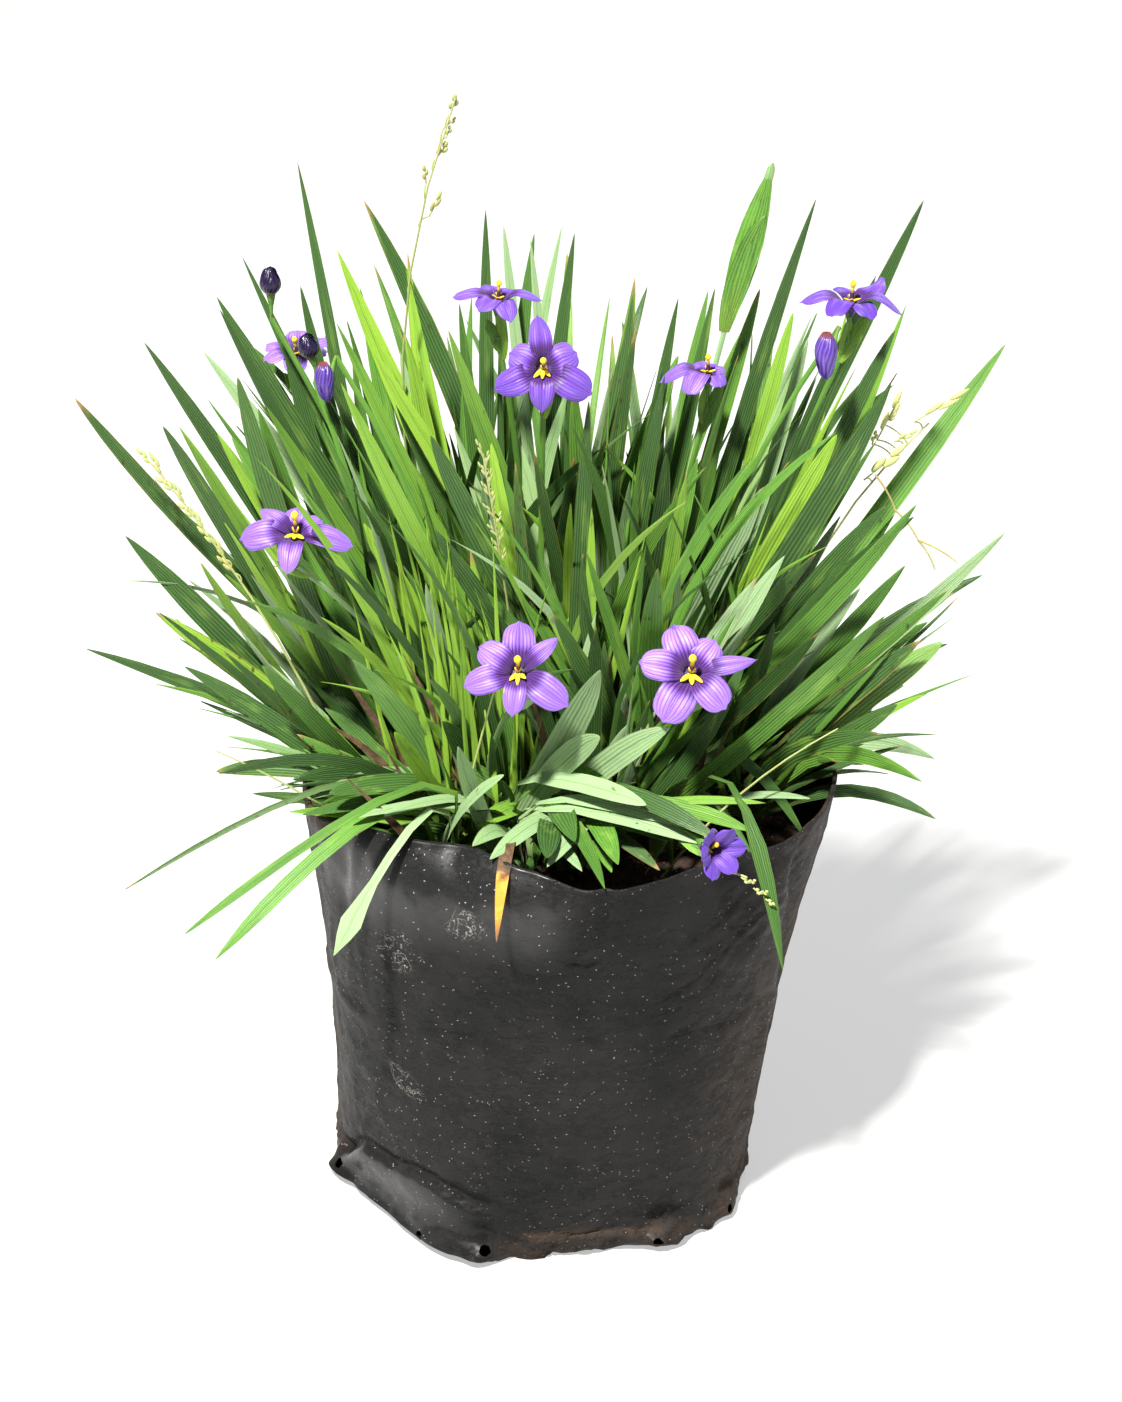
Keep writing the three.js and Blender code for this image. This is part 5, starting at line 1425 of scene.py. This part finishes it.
finished(joined(dry_leaves, "dry_leaves"), dead_brown)
print("dry leaves:", DRY_LEAVES)

# %% [markdown]
# ## The film of the grow bag
# The bag is a flat tube of thin black polythene, filled with soil until it stands. So it
# starts as a flat sheet that is rolled into a tube and gathered to a point below. Cloth
# simulation would give softer folds but not these ones, so the folds of the photograph are
# written as bumps round the ring and up the wall: a corner tucked at the front left, an
# ear at the front right, a rim that falls inwards at the front left.

# %% Table of folds
BAG_HEIGHT = 135
BASE_FOLDS = [(-170, 2.5), (-140, -3.5), (-113, 4.5), (-76, -1), (-45, 7), (0, -1), (40, 5), (90, -2),
              (140, 5)]
RIM_FOLDS = [(-178, -1), (-154, 2), (-138, -8), (-116, -16), (-98, -10), (-83, -1), (-60, -4), (-37, 2.5),
             (-10, 1), (30, -2), (60, 3), (95, -3), (130, 3)]
RIM_LIFTS = [(-178, 0), (-114, 3), (-84, -1.5), (-40, 1), (20, -1), (80, 2), (130, 0)]
print("folds of the foot:", len(BASE_FOLDS), "folds of the rim:", len(RIM_FOLDS))

# %% [markdown]
# ## The shape of the film
# The bumps in the tables are eased from one to the next. The radius grows from the foot to
# the rim, and where the rim falls inwards it does so over a round shoulder.

# %% Shape of the film
def around_ring(points, degrees):
    turned = (degrees - points[0][0]) % 360
    ring = [(at - points[0][0], value) for at, value in points] + [(360, points[0][1])]
    after = next(step for step, (at, _) in enumerate(ring) if at > turned)
    (low, first), (high, second) = ring[after - 1], ring[after]
    eased = (1 - math.cos(math.pi * (turned - low) / (high - low))) / 2
    return first + (second - first) * eased


def soft_step(value, low, high):
    share = min(1, max(0, (value - low) / (high - low)))
    return share * share * (3 - 2 * share)


def window(value, low, high, soft):
    """1 between low and high, with soft edges outside them."""
    return soft_step(value, low - soft, low) * (1 - soft_step(value, high, high + soft))


def film_radius(degrees, level):
    up = level / BAG_HEIGHT
    radius = 62.6 + 16.977 * up - 1.5 * math.sin(math.pi * up)
    radius += around_ring(BASE_FOLDS, degrees) * math.exp(-level / 18)
    fold = around_ring(RIM_FOLDS, degrees)
    near = min(1, max(0, (level - 107) / (BAG_HEIGHT - 107)))
    shoulder = (1 - math.sqrt(1 - 0.96 * near * near)) / 0.8
    rounded = soft_step(-fold, 1, 6)
    return radius + fold * (rounded * shoulder + (1 - rounded) * soft_step(level, 88, BAG_HEIGHT))


def film_spot(degrees, level, radius, rise=0.0):
    turn = math.radians(degrees)
    middle = -4.9 + 6.8 * level / BAG_HEIGHT
    lift = soft_step(level, 88, BAG_HEIGHT) * around_ring(RIM_LIFTS, degrees)
    return (middle + radius * math.cos(turn), radius * math.sin(turn), max(0, level + lift + rise))


def ring_noise(degrees, fine, height):
    """Noise that closes round the bag. The larger fine is, the smaller are its lumps."""
    turn = math.radians(degrees)
    return noise.noise(Vector((fine * math.cos(turn), fine * math.sin(turn), height)))


def hill(value, middle, reach):
    return math.exp(-(((value - middle) / reach) ** 2))


def apart(degrees, middle):
    return (degrees - middle + 180) % 360 - 180


print("rim radius at the front in mm:", round(film_radius(-90, BAG_HEIGHT), 1))

# %% [markdown]
# ## Folds and creases
# Thin film never lies smooth on soil. It has broad dents, upright folds below the rim,
# short sharp creases, and a crumpled foot where the corners are tucked under. Each of
# these is one sum, in millimetres outwards. The tuck comes first, with its lip, its skirt
# and its hem, and with it the ears that stick out of the foot.

# %% The tuck
def ridge(spot):
    """A sharp crease where the noise crosses zero."""
    return max(0.0, 1 - 5 * abs(noise.noise(Vector(spot))))


TUCK_TOPS = [(-179, 5), (-166, 8), (-148, 19), (-123, 22), (-108, 18), (-98, 9), (-80, 4), (0, 3)]


def tuck_parts(degrees):
    """How far a place is in the tucked corner, as a share, and how high its upper edge lies."""
    along = window(degrees, -163, -109, 9)
    top = around_ring(TUCK_TOPS, degrees) + 0.8 * noise.noise(Vector((degrees / 5, 0, 2)))
    return along, top


def tuck(degrees, level):
    """The folded corner at the front left with its lip, and the ears of the foot."""
    along, top = tuck_parts(degrees)
    lip = 1.5 * soft_step(top - level, -0.5, 1.1) - 1.5 * hill(level, top + 2.2, 1.8)
    skirt = 2.4 * max(0, 1 - level / top) - 1.2 * hill(level, top * 0.5, top * 0.22)
    hem = 0.9 * hill(level, 3.2, 1.3) - 2.4 * hill(level, 0, 1.8)
    hem += 0.8 * ridge((degrees / 16, level / 3.4, 4)) * hill(level, 5, 4)
    ears = 0
    for middle, reach, out in ((-58, 5, 4.2), (-106, 4, 2.2), (-165, 5, 2.2), (-36, 5, 3.0), (36, 9, 3.2)):
        near = hill(apart(degrees, middle), 0, reach)
        ears += near * (out * hill(level, 3.2, 3.4) - 0.6 * out * hill(level, 10, 3.5))
        ears -= 1.0 * hill(apart(degrees, middle), reach * 2.0, reach * 0.6) * hill(level, 3, 6)
    return along * (lip + skirt + hem) + ears


print("the tuck reaches up to, in mm:", round(tuck_parts(-123)[1], 1))

# %% [markdown]
# ## Creases one by one
# Some creases can be told apart in the photograph: a smile and an upright nick below the
# rim, slanting ones at the right, a long edge down the right side, and a pleat in the foot.

# %% Creases
def creases(degrees, level):
    """The folds that the photograph shows one by one."""
    off_smile = apart(degrees, -85.7)
    smile_at = 108.8 + 0.12 * off_smile**2
    smile = 0.8 * hill(level, smile_at + 1.5, 1.1) - 1.0 * hill(level, smile_at, 0.8)
    smile *= hill(off_smile, 0, 3.8)
    upright = -0.7 * hill(apart(degrees, -82), 0, 0.9) * soft_step(level, 112, 121)
    slants = 0
    for low, deep in ((84, 0.22), (91, 0.34), (97, 0.2), (106, 0.28)):
        off = level - low - 0.88 * (degrees + 62) - 1.5 * math.sin(degrees / 4)
        slants += window(degrees, -64, -34, 7) * deep * (hill(off, 0, 1.2) - hill(off, 2.6, 1.6))
    edge = degrees + 24 + 0.28 * max(0, level - 70)
    right = window(level, 24, 122, 10) * (1.5 * hill(edge, 0, 2.6) - 1.3 * hill(edge, 5.5, 2.8))
    pleat_at = 9.0 - 0.065 * (degrees + 91.6) + 0.8 * math.sin(degrees / 3)
    pleat = 1.1 * hill(level, pleat_at - 2.4, 1.6) - 1.0 * hill(level, pleat_at, 0.9)
    pleat *= window(degrees, -94, -62, 5)
    return smile + upright + slants + right + pleat


print("depth of the smile in mm:", round(creases(-85.7, 108.8), 2))

# %% [markdown]
# ## All folds together
# Under the folds that are known the film is dented by the lumps of the soil. That is noise
# in several sizes, calmer in the tuck and at the rim.

# %% All folds
def crumple(degrees, level):
    """All dents, folds and creases together, in mm outwards."""
    turn = math.radians(degrees)
    c, s = math.cos(turn), math.sin(turn)
    along, top = tuck_parts(degrees)
    calm = 1 - 0.75 * along * soft_step(top - level, -3, 1)
    dents = 0.9 * ring_noise(degrees, 2.1, level / 48)
    uprights = 0.5 * ring_noise(degrees, 8.5, level / 160 + 7)
    near_rim = 0.35 + 0.9 * soft_step(level, 80, 118)
    slants = ridge((4.2 * c + level / 60, 4.2 * s + 3, level / 26)) * 0.5
    fine = ridge((13 * c, 13 * s, level / 11)) * 0.2
    foot = math.exp(-level / 9) * calm
    crushed = foot * (1.7 * ridge((7 * c, 7 * s, level / 9 + 2)) + 1.5 * ring_noise(degrees, 14, level / 6))
    band = -0.5 * hill(level, 77 + 3 * math.sin(3 * turn), 2.2) + 0.35 * hill(level, 72, 3)
    rim_calm = 1 - 0.6 * soft_step(level, 122, 133)
    pinch = -1.0 * hill(apart(degrees, -83), 0, 2.6) * soft_step(level, 100, 130)
    waves = (dents + uprights * near_rim + slants + fine + band) * rim_calm * calm
    return waves + crushed + pinch + creases(degrees, level) + tuck(degrees, level)


print("crease depth sample in mm:", [round(crumple(-90, level), 2) for level in (4, 40, 80, 120)])

# %% [markdown]
# ## Gloss, dust and marks
# The film isn't worn the same all over. It shines on the shoulder at the front left and on
# the tuck, soil has dried brown on the sides and the foot, water has left two rings, and one
# place is scuffed. These are given to the sheet as three numbers a corner, before it is
# rolled, and the finish reads them. Of the sheet's height, the first share is the bag's
# floor, then comes the wall, and the last share is rolled over as the rim.

# %% Wear of the film
FLOOR_SHARE, WALL_SHARE, WALL_EASE = 0.09, 0.86, 1.12
ROLL_FROM, ROLL_SHARE = 0.95, 0.05


def ring_degrees(turn):
    """Degrees round the bag, from -180 to 180, at a share of the sheet's width."""
    return (90 + 360 * turn + 180) % 360 - 180


def wear(turn, height):
    """What the finish of the film needs at a spot: gloss, brown dust, and pale marks."""
    degrees = ring_degrees(turn)
    level = BAG_HEIGHT * max(0, (height - FLOOR_SHARE) / WALL_SHARE) ** WALL_EASE
    along, top = tuck_parts(degrees)
    shoulder = window(degrees, -146, -98, 12) * soft_step(level, 104, 122)
    band = along * soft_step(top - level, -0.6, 0.8) * (0.2 + 0.5 * soft_step(level, 4, 8))
    band *= 1 - hill(degrees, -106, 7)
    right = window(level, 24, 122, 10) * hill(degrees + 24 + 0.28 * max(0, level - 70), 0, 4)
    gloss = max(shoulder * (1 - 0.7 * soft_step(level, 128, 134)), band, 0.15 * right)
    pleat = window(degrees, -96, -60, 4) * hill(level, 9.0 - 0.065 * (degrees + 91.6), 1.6)
    left = 0.75 * hill(apart(degrees, 178), 0, 20)
    low_right = hill(apart(degrees, -16), 0, 30) * (1 - 0.45 * soft_step(level, 60, 120))
    sides = max(left, low_right, 0.3 * (degrees > 0))
    foot = (1 - along) * 0.6 * (1 - soft_step(level, 3, 16))
    torn = window(degrees, -160, -146, 4) * soft_step(level, 129, 133)
    brown = min(1, max(pleat, sides, foot, torn) * (1 - 0.8 * band))
    large_ring = hill(apart(degrees, -129), 0, 8) * hill(level, 104, 9)
    small_ring = 0.8 * hill(apart(degrees, -112), 0, 7) * hill(level, 118, 6)
    scuffs = hill(apart(degrees, -130), 0, 8) * hill(level, 56 - 0.5 * (degrees + 130), 5)
    return gloss, brown, max(large_ring, small_ring, scuffs)


print("gloss, dust and marks on the shoulder:", [round(share, 2) for share in wear(0.4, 0.85)])

# %% [markdown]
# ## Roll the bag
# A flat grid is rolled into a tube: its width goes round the bag, and its height goes from
# the middle of the floor up the wall. The rim is rolled over by about a millimetre. The
# thick rounded fold at the front left comes from the shoulder in the film's radius.

# %% Sheet into bag
def rolled(name, columns, rows, spot_at, tint_at=None):
    """A flat sheet rolled into a closed tube: spot_at(turn share, height share) gives mm."""
    bpy.ops.object.select_all(action="DESELECT")
    bpy.ops.mesh.primitive_grid_add(x_subdivisions=columns, y_subdivisions=rows, size=1)
    piece = named(name)
    sheet = spots_of(piece)
    if tint_at:
        tints = [(*tint_at(x + 0.5, y + 0.5), 1.0) for x, y, _ in sheet]
        marks = piece.data.attributes.new("tint", "FLOAT_COLOR", "POINT")
        marks.data.foreach_set("color", np.array(tints).ravel())
    move_spots(piece, np.array([spot_at(x + 0.5, y + 0.5) for x, y, _ in sheet]) * MM)
    tidy_faces(piece, gap=4e-6)
    return piece


def bag_spot(turn, height):
    degrees = ring_degrees(turn)
    if height < FLOOR_SHARE:
        share = (height / FLOOR_SHARE) ** 0.8
        pleat = 0.5 * abs(ring_noise(degrees, 9, share))
        out = film_radius(degrees, 0) - 2.6 + 0.5 * tuck(degrees, 0)
        return film_spot(degrees, 0, share * out, pleat * share * (1 - share))
    roll = 0.7 + 0.5 * window(degrees, -150, -106, 18)
    top = BAG_HEIGHT - roll
    if height < ROLL_FROM:
        level = top * ((height - FLOOR_SHARE) / WALL_SHARE) ** WALL_EASE
        rounding = 2.6 * max(0, 1 - level / 4) ** 2
        return film_spot(degrees, level, film_radius(degrees, level) + crumple(degrees, level) - rounding)
    angle = (height - ROLL_FROM) / ROLL_SHARE * math.radians(165)
    inwards = roll * (1 - math.cos(angle))
    frill = 0.5 * ring_noise(degrees, 11, 5)
    radius = film_radius(degrees, top) + crumple(degrees, top) - inwards
    return film_spot(degrees, top, radius, roll * math.sin(angle) + frill)


bag = rolled("grow_bag", 300, 108, bag_spot, wear)
print("sheet faces:", len(bag.data.polygons))

# %% [markdown]
# ## Drain holes and wall
# The film is pierced near its foot. The faces at each hole are deleted, and the corners
# round the gap are pushed out to a circle. Only then does the sheet get its thickness, so
# that the wall closes round the holes too. A row gives: degrees, level and radius.

# %% Drain holes and wall
HOLES = [(-163, 5.0, 1.8), (-124, 4.0, 1.7), (-105, 5.6, 1.9), (-61, 4.2, 1.8), (-37, 4.0, 2.0), (60, 5, 2.4)]
hole_spots = [np.array(film_spot(d, z, film_radius(d, z) + crumple(d, z))) * MM for d, z, _ in HOLES]
bpy.ops.object.mode_set(mode="EDIT")
bpy.ops.mesh.select_mode(type="FACE")
bpy.ops.mesh.select_all(action="DESELECT")
bpy.ops.object.mode_set(mode="OBJECT")
for face in bag.data.polygons:
    centre = np.array(face.center)
    cut = [np.linalg.norm(centre - spot) < size * MM for spot, (_, _, size) in zip(hole_spots, HOLES)]
    face.select = any(cut)
print("faces cut for drain holes:", sum(face.select for face in bag.data.polygons))
bpy.ops.object.mode_set(mode="EDIT")
bpy.ops.mesh.delete(type="FACE")
bpy.ops.mesh.select_mode(type="VERT")
bpy.ops.mesh.select_non_manifold()
bpy.ops.object.mode_set(mode="OBJECT")
rounded = spots_of(bag)
for index in [vertex.index for vertex in bag.data.vertices if vertex.select]:
    for spot, (_, _, size) in zip(hole_spots, HOLES):
        away = rounded[index] - spot
        if np.linalg.norm(away) < 2.2 * size * MM:
            rounded[index] = spot + away * (size * MM / np.linalg.norm(away))
move_spots(bag, rounded)
bpy.ops.object.modifier_add(type="SOLIDIFY")
bag.modifiers[0].thickness = 0.4 * MM
bag.modifiers[0].offset = -1
bpy.ops.object.modifier_apply(modifier=bag.modifiers[0].name)
print("bag faces:", len(bag.data.polygons))

# %% [markdown]
# ## The finish of old film
# The film is black, but in the light it reads as a dark grey with a soft sheen. It is
# scuffed, with many tiny pale flecks, brown dust towards the sides and the foot, and faint
# water marks near the rim. The flecks are cells of a Voronoi pattern, each with its own
# chance of being pale.

# %% Film finish
film_black = Finish("film_black", Specular_IOR_Level=0.06, Coat_Roughness=0.24)
place = film_black.place()
u, v = film_black.along()
gloss, brown_at, marked = film_black.tint()
sheet = film_black.node("ShaderNodeCombineXYZ", {}, {0: u * 452, 1: v * 157})
grain = film_black.noise(place, 2200, 3, 0.7)
cloud = film_black.noise(place, 24, 4, 0.6)
grimy = film_black.noise(place, 75, 6, 0.68)
soft_black = film_black.mix(cloud.between(0.3, 0.7), rgb(0.0095, 0.0095, 0.0098), rgb(0.02, 0.0196, 0.0194))
soft_black = film_black.mix(grain.between(0.5, 0.75) * 0.5, soft_black, rgb(0.04, 0.038, 0.036))
dusty = (brown_at * (grimy.between(0.3, 0.7) * 0.7 + 0.3)).between(0.0, 0.9)
film_colour = film_black.mix(dusty * 0.6, soft_black, rgb(0.085, 0.056, 0.038))


def flecks(scale, turn, chance, size):
    """Short pale dashes: a streak in some of the cells of a Voronoi pattern on the flat sheet."""
    turned = film_black.stretched(sheet, (1, 1, 1), (0, 0, turn))
    cells = {"Vector": film_black.stretched(turned, (1, 0.36, 1)), "Scale": scale}
    near = film_black.node("ShaderNodeTexVoronoi", {"voronoi_dimensions": "2D"}, cells)
    lot = film_black.node("ShaderNodeTexVoronoi", {"voronoi_dimensions": "2D"}, cells, "Color")
    lot = film_black.node("ShaderNodeSeparateColor", {}, {0: lot})
    return near.between(size, size * 0.5) * lot.between(chance, chance + 0.01)


crowd = film_black.noise(place, 30, 2).between(0.3, 0.6) * 0.7 + 0.3
dashes = flecks(0.8, 1.3, 0.9, 0.1) + flecks(0.85, 0.5, 0.94, 0.1) + flecks(0.75, -0.7, 0.92, 0.095)
dots = flecks(2.2, 0.2, 0.9, 0.22)
ring = film_black.noise(sheet, 0.15, 3, 0.5)
ring_lines = abs(ring - 0.5).between(0.011, 0.003) + abs(ring - 0.57).between(0.009, 0.003)
scuff = film_black.noise(film_black.stretched(sheet, (0.45, 1.5, 1)), 0.9, 5, 0.75).between(0.57, 0.68)
pale = (dashes * crowd * 0.9 + dots * crowd * 0.14 + ring_lines * marked.between(0.3, 0.7) * 0.42
        + scuff * (marked.between(0.2, 0.9) * 0.8 + 0.03)).between(0.0, 1.0)
film_colour = film_black.mix(pale, film_colour, rgb(0.46, 0.43, 0.4))
wrinkle = film_black.noise(film_black.stretched(place, (1, 1, 2.4), (0.3, 0.2, 0)), 60, 8, 0.7)
wrinkle = abs(wrinkle - 0.5).between(0.03, 0.0)
roughness = cloud * 0.1 + grimy * 0.16 + 0.34 - gloss * 0.16 + dusty * 0.2
film_bump = film_black.bump(wrinkle * 0.4 + grimy * 0.55 + grain * 0.12 + pale * 0.1, 0.7, 0.0009)
film_black.link(Base_Color=film_colour, Roughness=roughness, Coat_Weight=gloss * 0.8 + 0.03, Normal=film_bump)
finished(bag, film_black, ["bag"], angle=60)
print(film_black.material.name, "nodes:", len(film_black.tree.nodes))

# %% [markdown]
# ## The soil
# Dark moist potting mix fills the bag to about two centimetres below the rim. Only its top
# is seen, bare at the right. It is rolled as the bag is, closed at both ends, and its top
# is pushed about by three sizes of noise.

# %% Soil
SOIL_LEVEL = 111.3
SOIL_GAP = 3.6


def soil_height(x, y):
    lumps = 2.0 * noise.noise(Vector((x / 17, y / 17, 1))) + 1.5 * noise.noise(Vector((x / 6, y / 6, 2)))
    return SOIL_LEVEL + lumps + 0.9 * noise.noise(Vector((x / 2.4, y / 2.4, 3)))


def soil_spot(turn, height):
    degrees = (450 + 360 * turn) % 360 - 180
    if height < 0.06:
        return film_spot(degrees, 2.0, height / 0.06 * (film_radius(degrees, 2) - 6))
    if height < 0.4:
        level = 2 + 108 * (height - 0.06) / 0.34
        return film_spot(degrees, level, film_radius(degrees, level) - 7 * math.exp(-level / 12) - SOIL_GAP)
    share = 1 - (height - 0.4) / 0.6
    x, y, _ = film_spot(degrees, 110, share * (film_radius(degrees, 110) - SOIL_GAP))
    return x, y, soil_height(x, y) - 1.3 * share**8 if share < 0.999 else 110


soil = rolled("soil_bed", 150, 84, soil_spot)
print("soil faces:", len(soil.data.polygons))

# %% [markdown]
# ## The finish of the soil
# Moist potting mix is nearly black, with reddish fibres. The crumbs wear the same finish:
# the hue of their tint makes them bark, and its age makes them white grains.

# %% Soil finish
soil_brown = Finish("soil_brown", Specular_IOR_Level=0.25)
place = soil_brown.place()
lumps = soil_brown.noise(place, 180, 5, 0.7)
fibre = soil_brown.noise(soil_brown.stretched(place, (1, 3, 3)), 500, 3, 0.6)
earth = soil_brown.mix(lumps.between(0.35, 0.65), rgb(0.012, 0.008, 0.006), rgb(0.05, 0.028, 0.018))
earth = soil_brown.mix(fibre.between(0.6, 0.75) * 0.6, earth, rgb(0.13, 0.06, 0.032))
hue, age, _ = soil_brown.tint()
earth = soil_brown.mix(hue, earth, rgb(0.2, 0.075, 0.035))
earth = soil_brown.mix(age, earth, rgb(0.62, 0.6, 0.55))
soil_brown.link(Base_Color=earth, Roughness=lumps * 0.2 + 0.75,
                Normal=soil_brown.bump(lumps + fibre * 0.4, 0.9, 0.002))
soil.data.attributes.new("tint", "FLOAT_COLOR", "POINT")
give_tint(soil, 0.0, 0.0, 0.5)
finished(soil, soil_brown, ["soil"])
print(soil_brown.material.name, "nodes:", len(soil_brown.tree.nodes))

# %% [markdown]
# ## Crumbs on the soil
# Single crumbs, bits of bark and a few white specks lie on the soil. One small lumpy ball
# is modelled and copied, and each copy is stretched and turned in its own way.

# %% Crumbs
CRUMBS = 460
bpy.ops.object.select_all(action="DESELECT")
bpy.ops.mesh.primitive_uv_sphere_add(segments=8, ring_count=5, radius=0.5)
crumb_shape = named("crumb_shape")
dented = [spot * (1 + 0.35 * noise.noise(Vector(spot) * 2.2)) for spot in spots_of(crumb_shape)]
move_spots(crumb_shape, dented)
crumb_shape.data.attributes.new("tint", "FLOAT_COLOR", "POINT")
crumbs = []
draw = seeded(60000)
while len(crumbs) < CRUMBS:
    x, y = 150 * (draw() - 0.5), 150 * (draw() - 0.5)
    reach = math.hypot(x, y) / (film_radius(math.degrees(math.atan2(y, x)), 112) - 6)
    sparse = reach < 0.35 and draw() < 0.6
    if reach > 0.97 or sparse:
        continue
    size = 1.1 + 3.8 * draw() ** 2.2
    turn = Vector((draw() - 0.5, draw() - 0.5, draw() - 0.5)).to_track_quat("Z", "Y").to_matrix()
    shape = np.array((size, size * (0.5 + 0.5 * draw()), size * (0.35 + 0.4 * draw())))
    spots = (spots_of(crumb_shape) * shape) @ np.array(turn).T
    crumb = copy_of(crumb_shape)
    white = draw() < 0.06
    move_spots(crumb, (spots * (0.45 if white else 1) + (x, y, soil_height(x, y) + 0.25 * size)) * MM)
    crumbs.append(give_tint(crumb, draw() ** 1.6, 1.0 if white else 0.0, 0.5))
crumb_piece = joined(crumbs, "soil_crumbs")
finished(crumb_piece, soil_brown, angle=60)
print("crumbs:", len(crumbs), "faces:", len(crumb_piece.data.polygons))

for shape in (blade_shape, blunt_shape, needle_shape, stalk_shape, pod_shape, tepal_shape, crumb_shape):
    bpy.data.objects.remove(shape)

# %% [markdown]
# ## Studio
# A plain pale floor that glows a little, as in a product photograph. One strong lamp high on
# the left throws the clear shadows of the photograph's sun, a weak one lifts the right side,
# one behind lights the tips of the leaves, and a pale sky fills the rest.

# %% Floor, lamps and sky
bpy.ops.object.select_all(action="DESELECT")
bpy.ops.mesh.primitive_plane_add(size=14)
floor = named("studio_floor")
floor_finish = Finish("studio_floor", Roughness=0.85, Specular_IOR_Level=0.1, Emission_Strength=0.47,
                      Emission_Color=(1.0, 1.0, 1.0, 1.0))
tone = floor_finish.noise(floor_finish.place(), 3, 2)
floor_finish.link(Base_Color=floor_finish.mix(tone, rgb(0.41, 0.41, 0.407), rgb(0.43, 0.43, 0.426)))
floor.data.materials.append(floor_finish.material)
floor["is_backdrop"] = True


def lamp(name, spot, size, watts, colour=(1, 1, 1)):
    turn = (AIM - Vector(spot)).to_track_quat("-Z", "Y").to_euler()
    bpy.ops.object.light_add(type="AREA", location=spot, rotation=turn)
    light = bpy.context.object
    light.name = name
    light.data.size = size
    light.data.energy = watts
    light.data.color = colour
    return light


lamp("key_lamp", (-0.5, -1.0, 2.05), 0.17, 142, (1.0, 0.98, 0.94))
lamp("fill_lamp", (1.5, -1.3, 0.9), 1.4, 3, (0.94, 0.97, 1.0))
lamp("back_lamp", (0.5, 1.5, 1.5), 1.0, 11, (1.0, 1.0, 0.97))
sky = bpy.data.worlds.new("studio_sky")
bpy.context.scene.world = sky
sky.use_nodes = True
sky.node_tree.nodes["Background"].inputs["Color"].default_value = (0.93, 0.96, 1.0, 1.0)
sky.node_tree.nodes["Background"].inputs["Strength"].default_value = 0.25
bpy.context.scene.view_settings.view_transform = "Standard"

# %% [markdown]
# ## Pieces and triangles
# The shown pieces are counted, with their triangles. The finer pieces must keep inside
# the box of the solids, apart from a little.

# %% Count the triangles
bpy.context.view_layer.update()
triangles = {piece.name: sum(len(p.vertices) - 2 for p in piece.data.polygons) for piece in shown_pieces()}
print("pieces:", len(triangles), "triangles:", sum(triangles.values()), "largest:", max(triangles.values()))
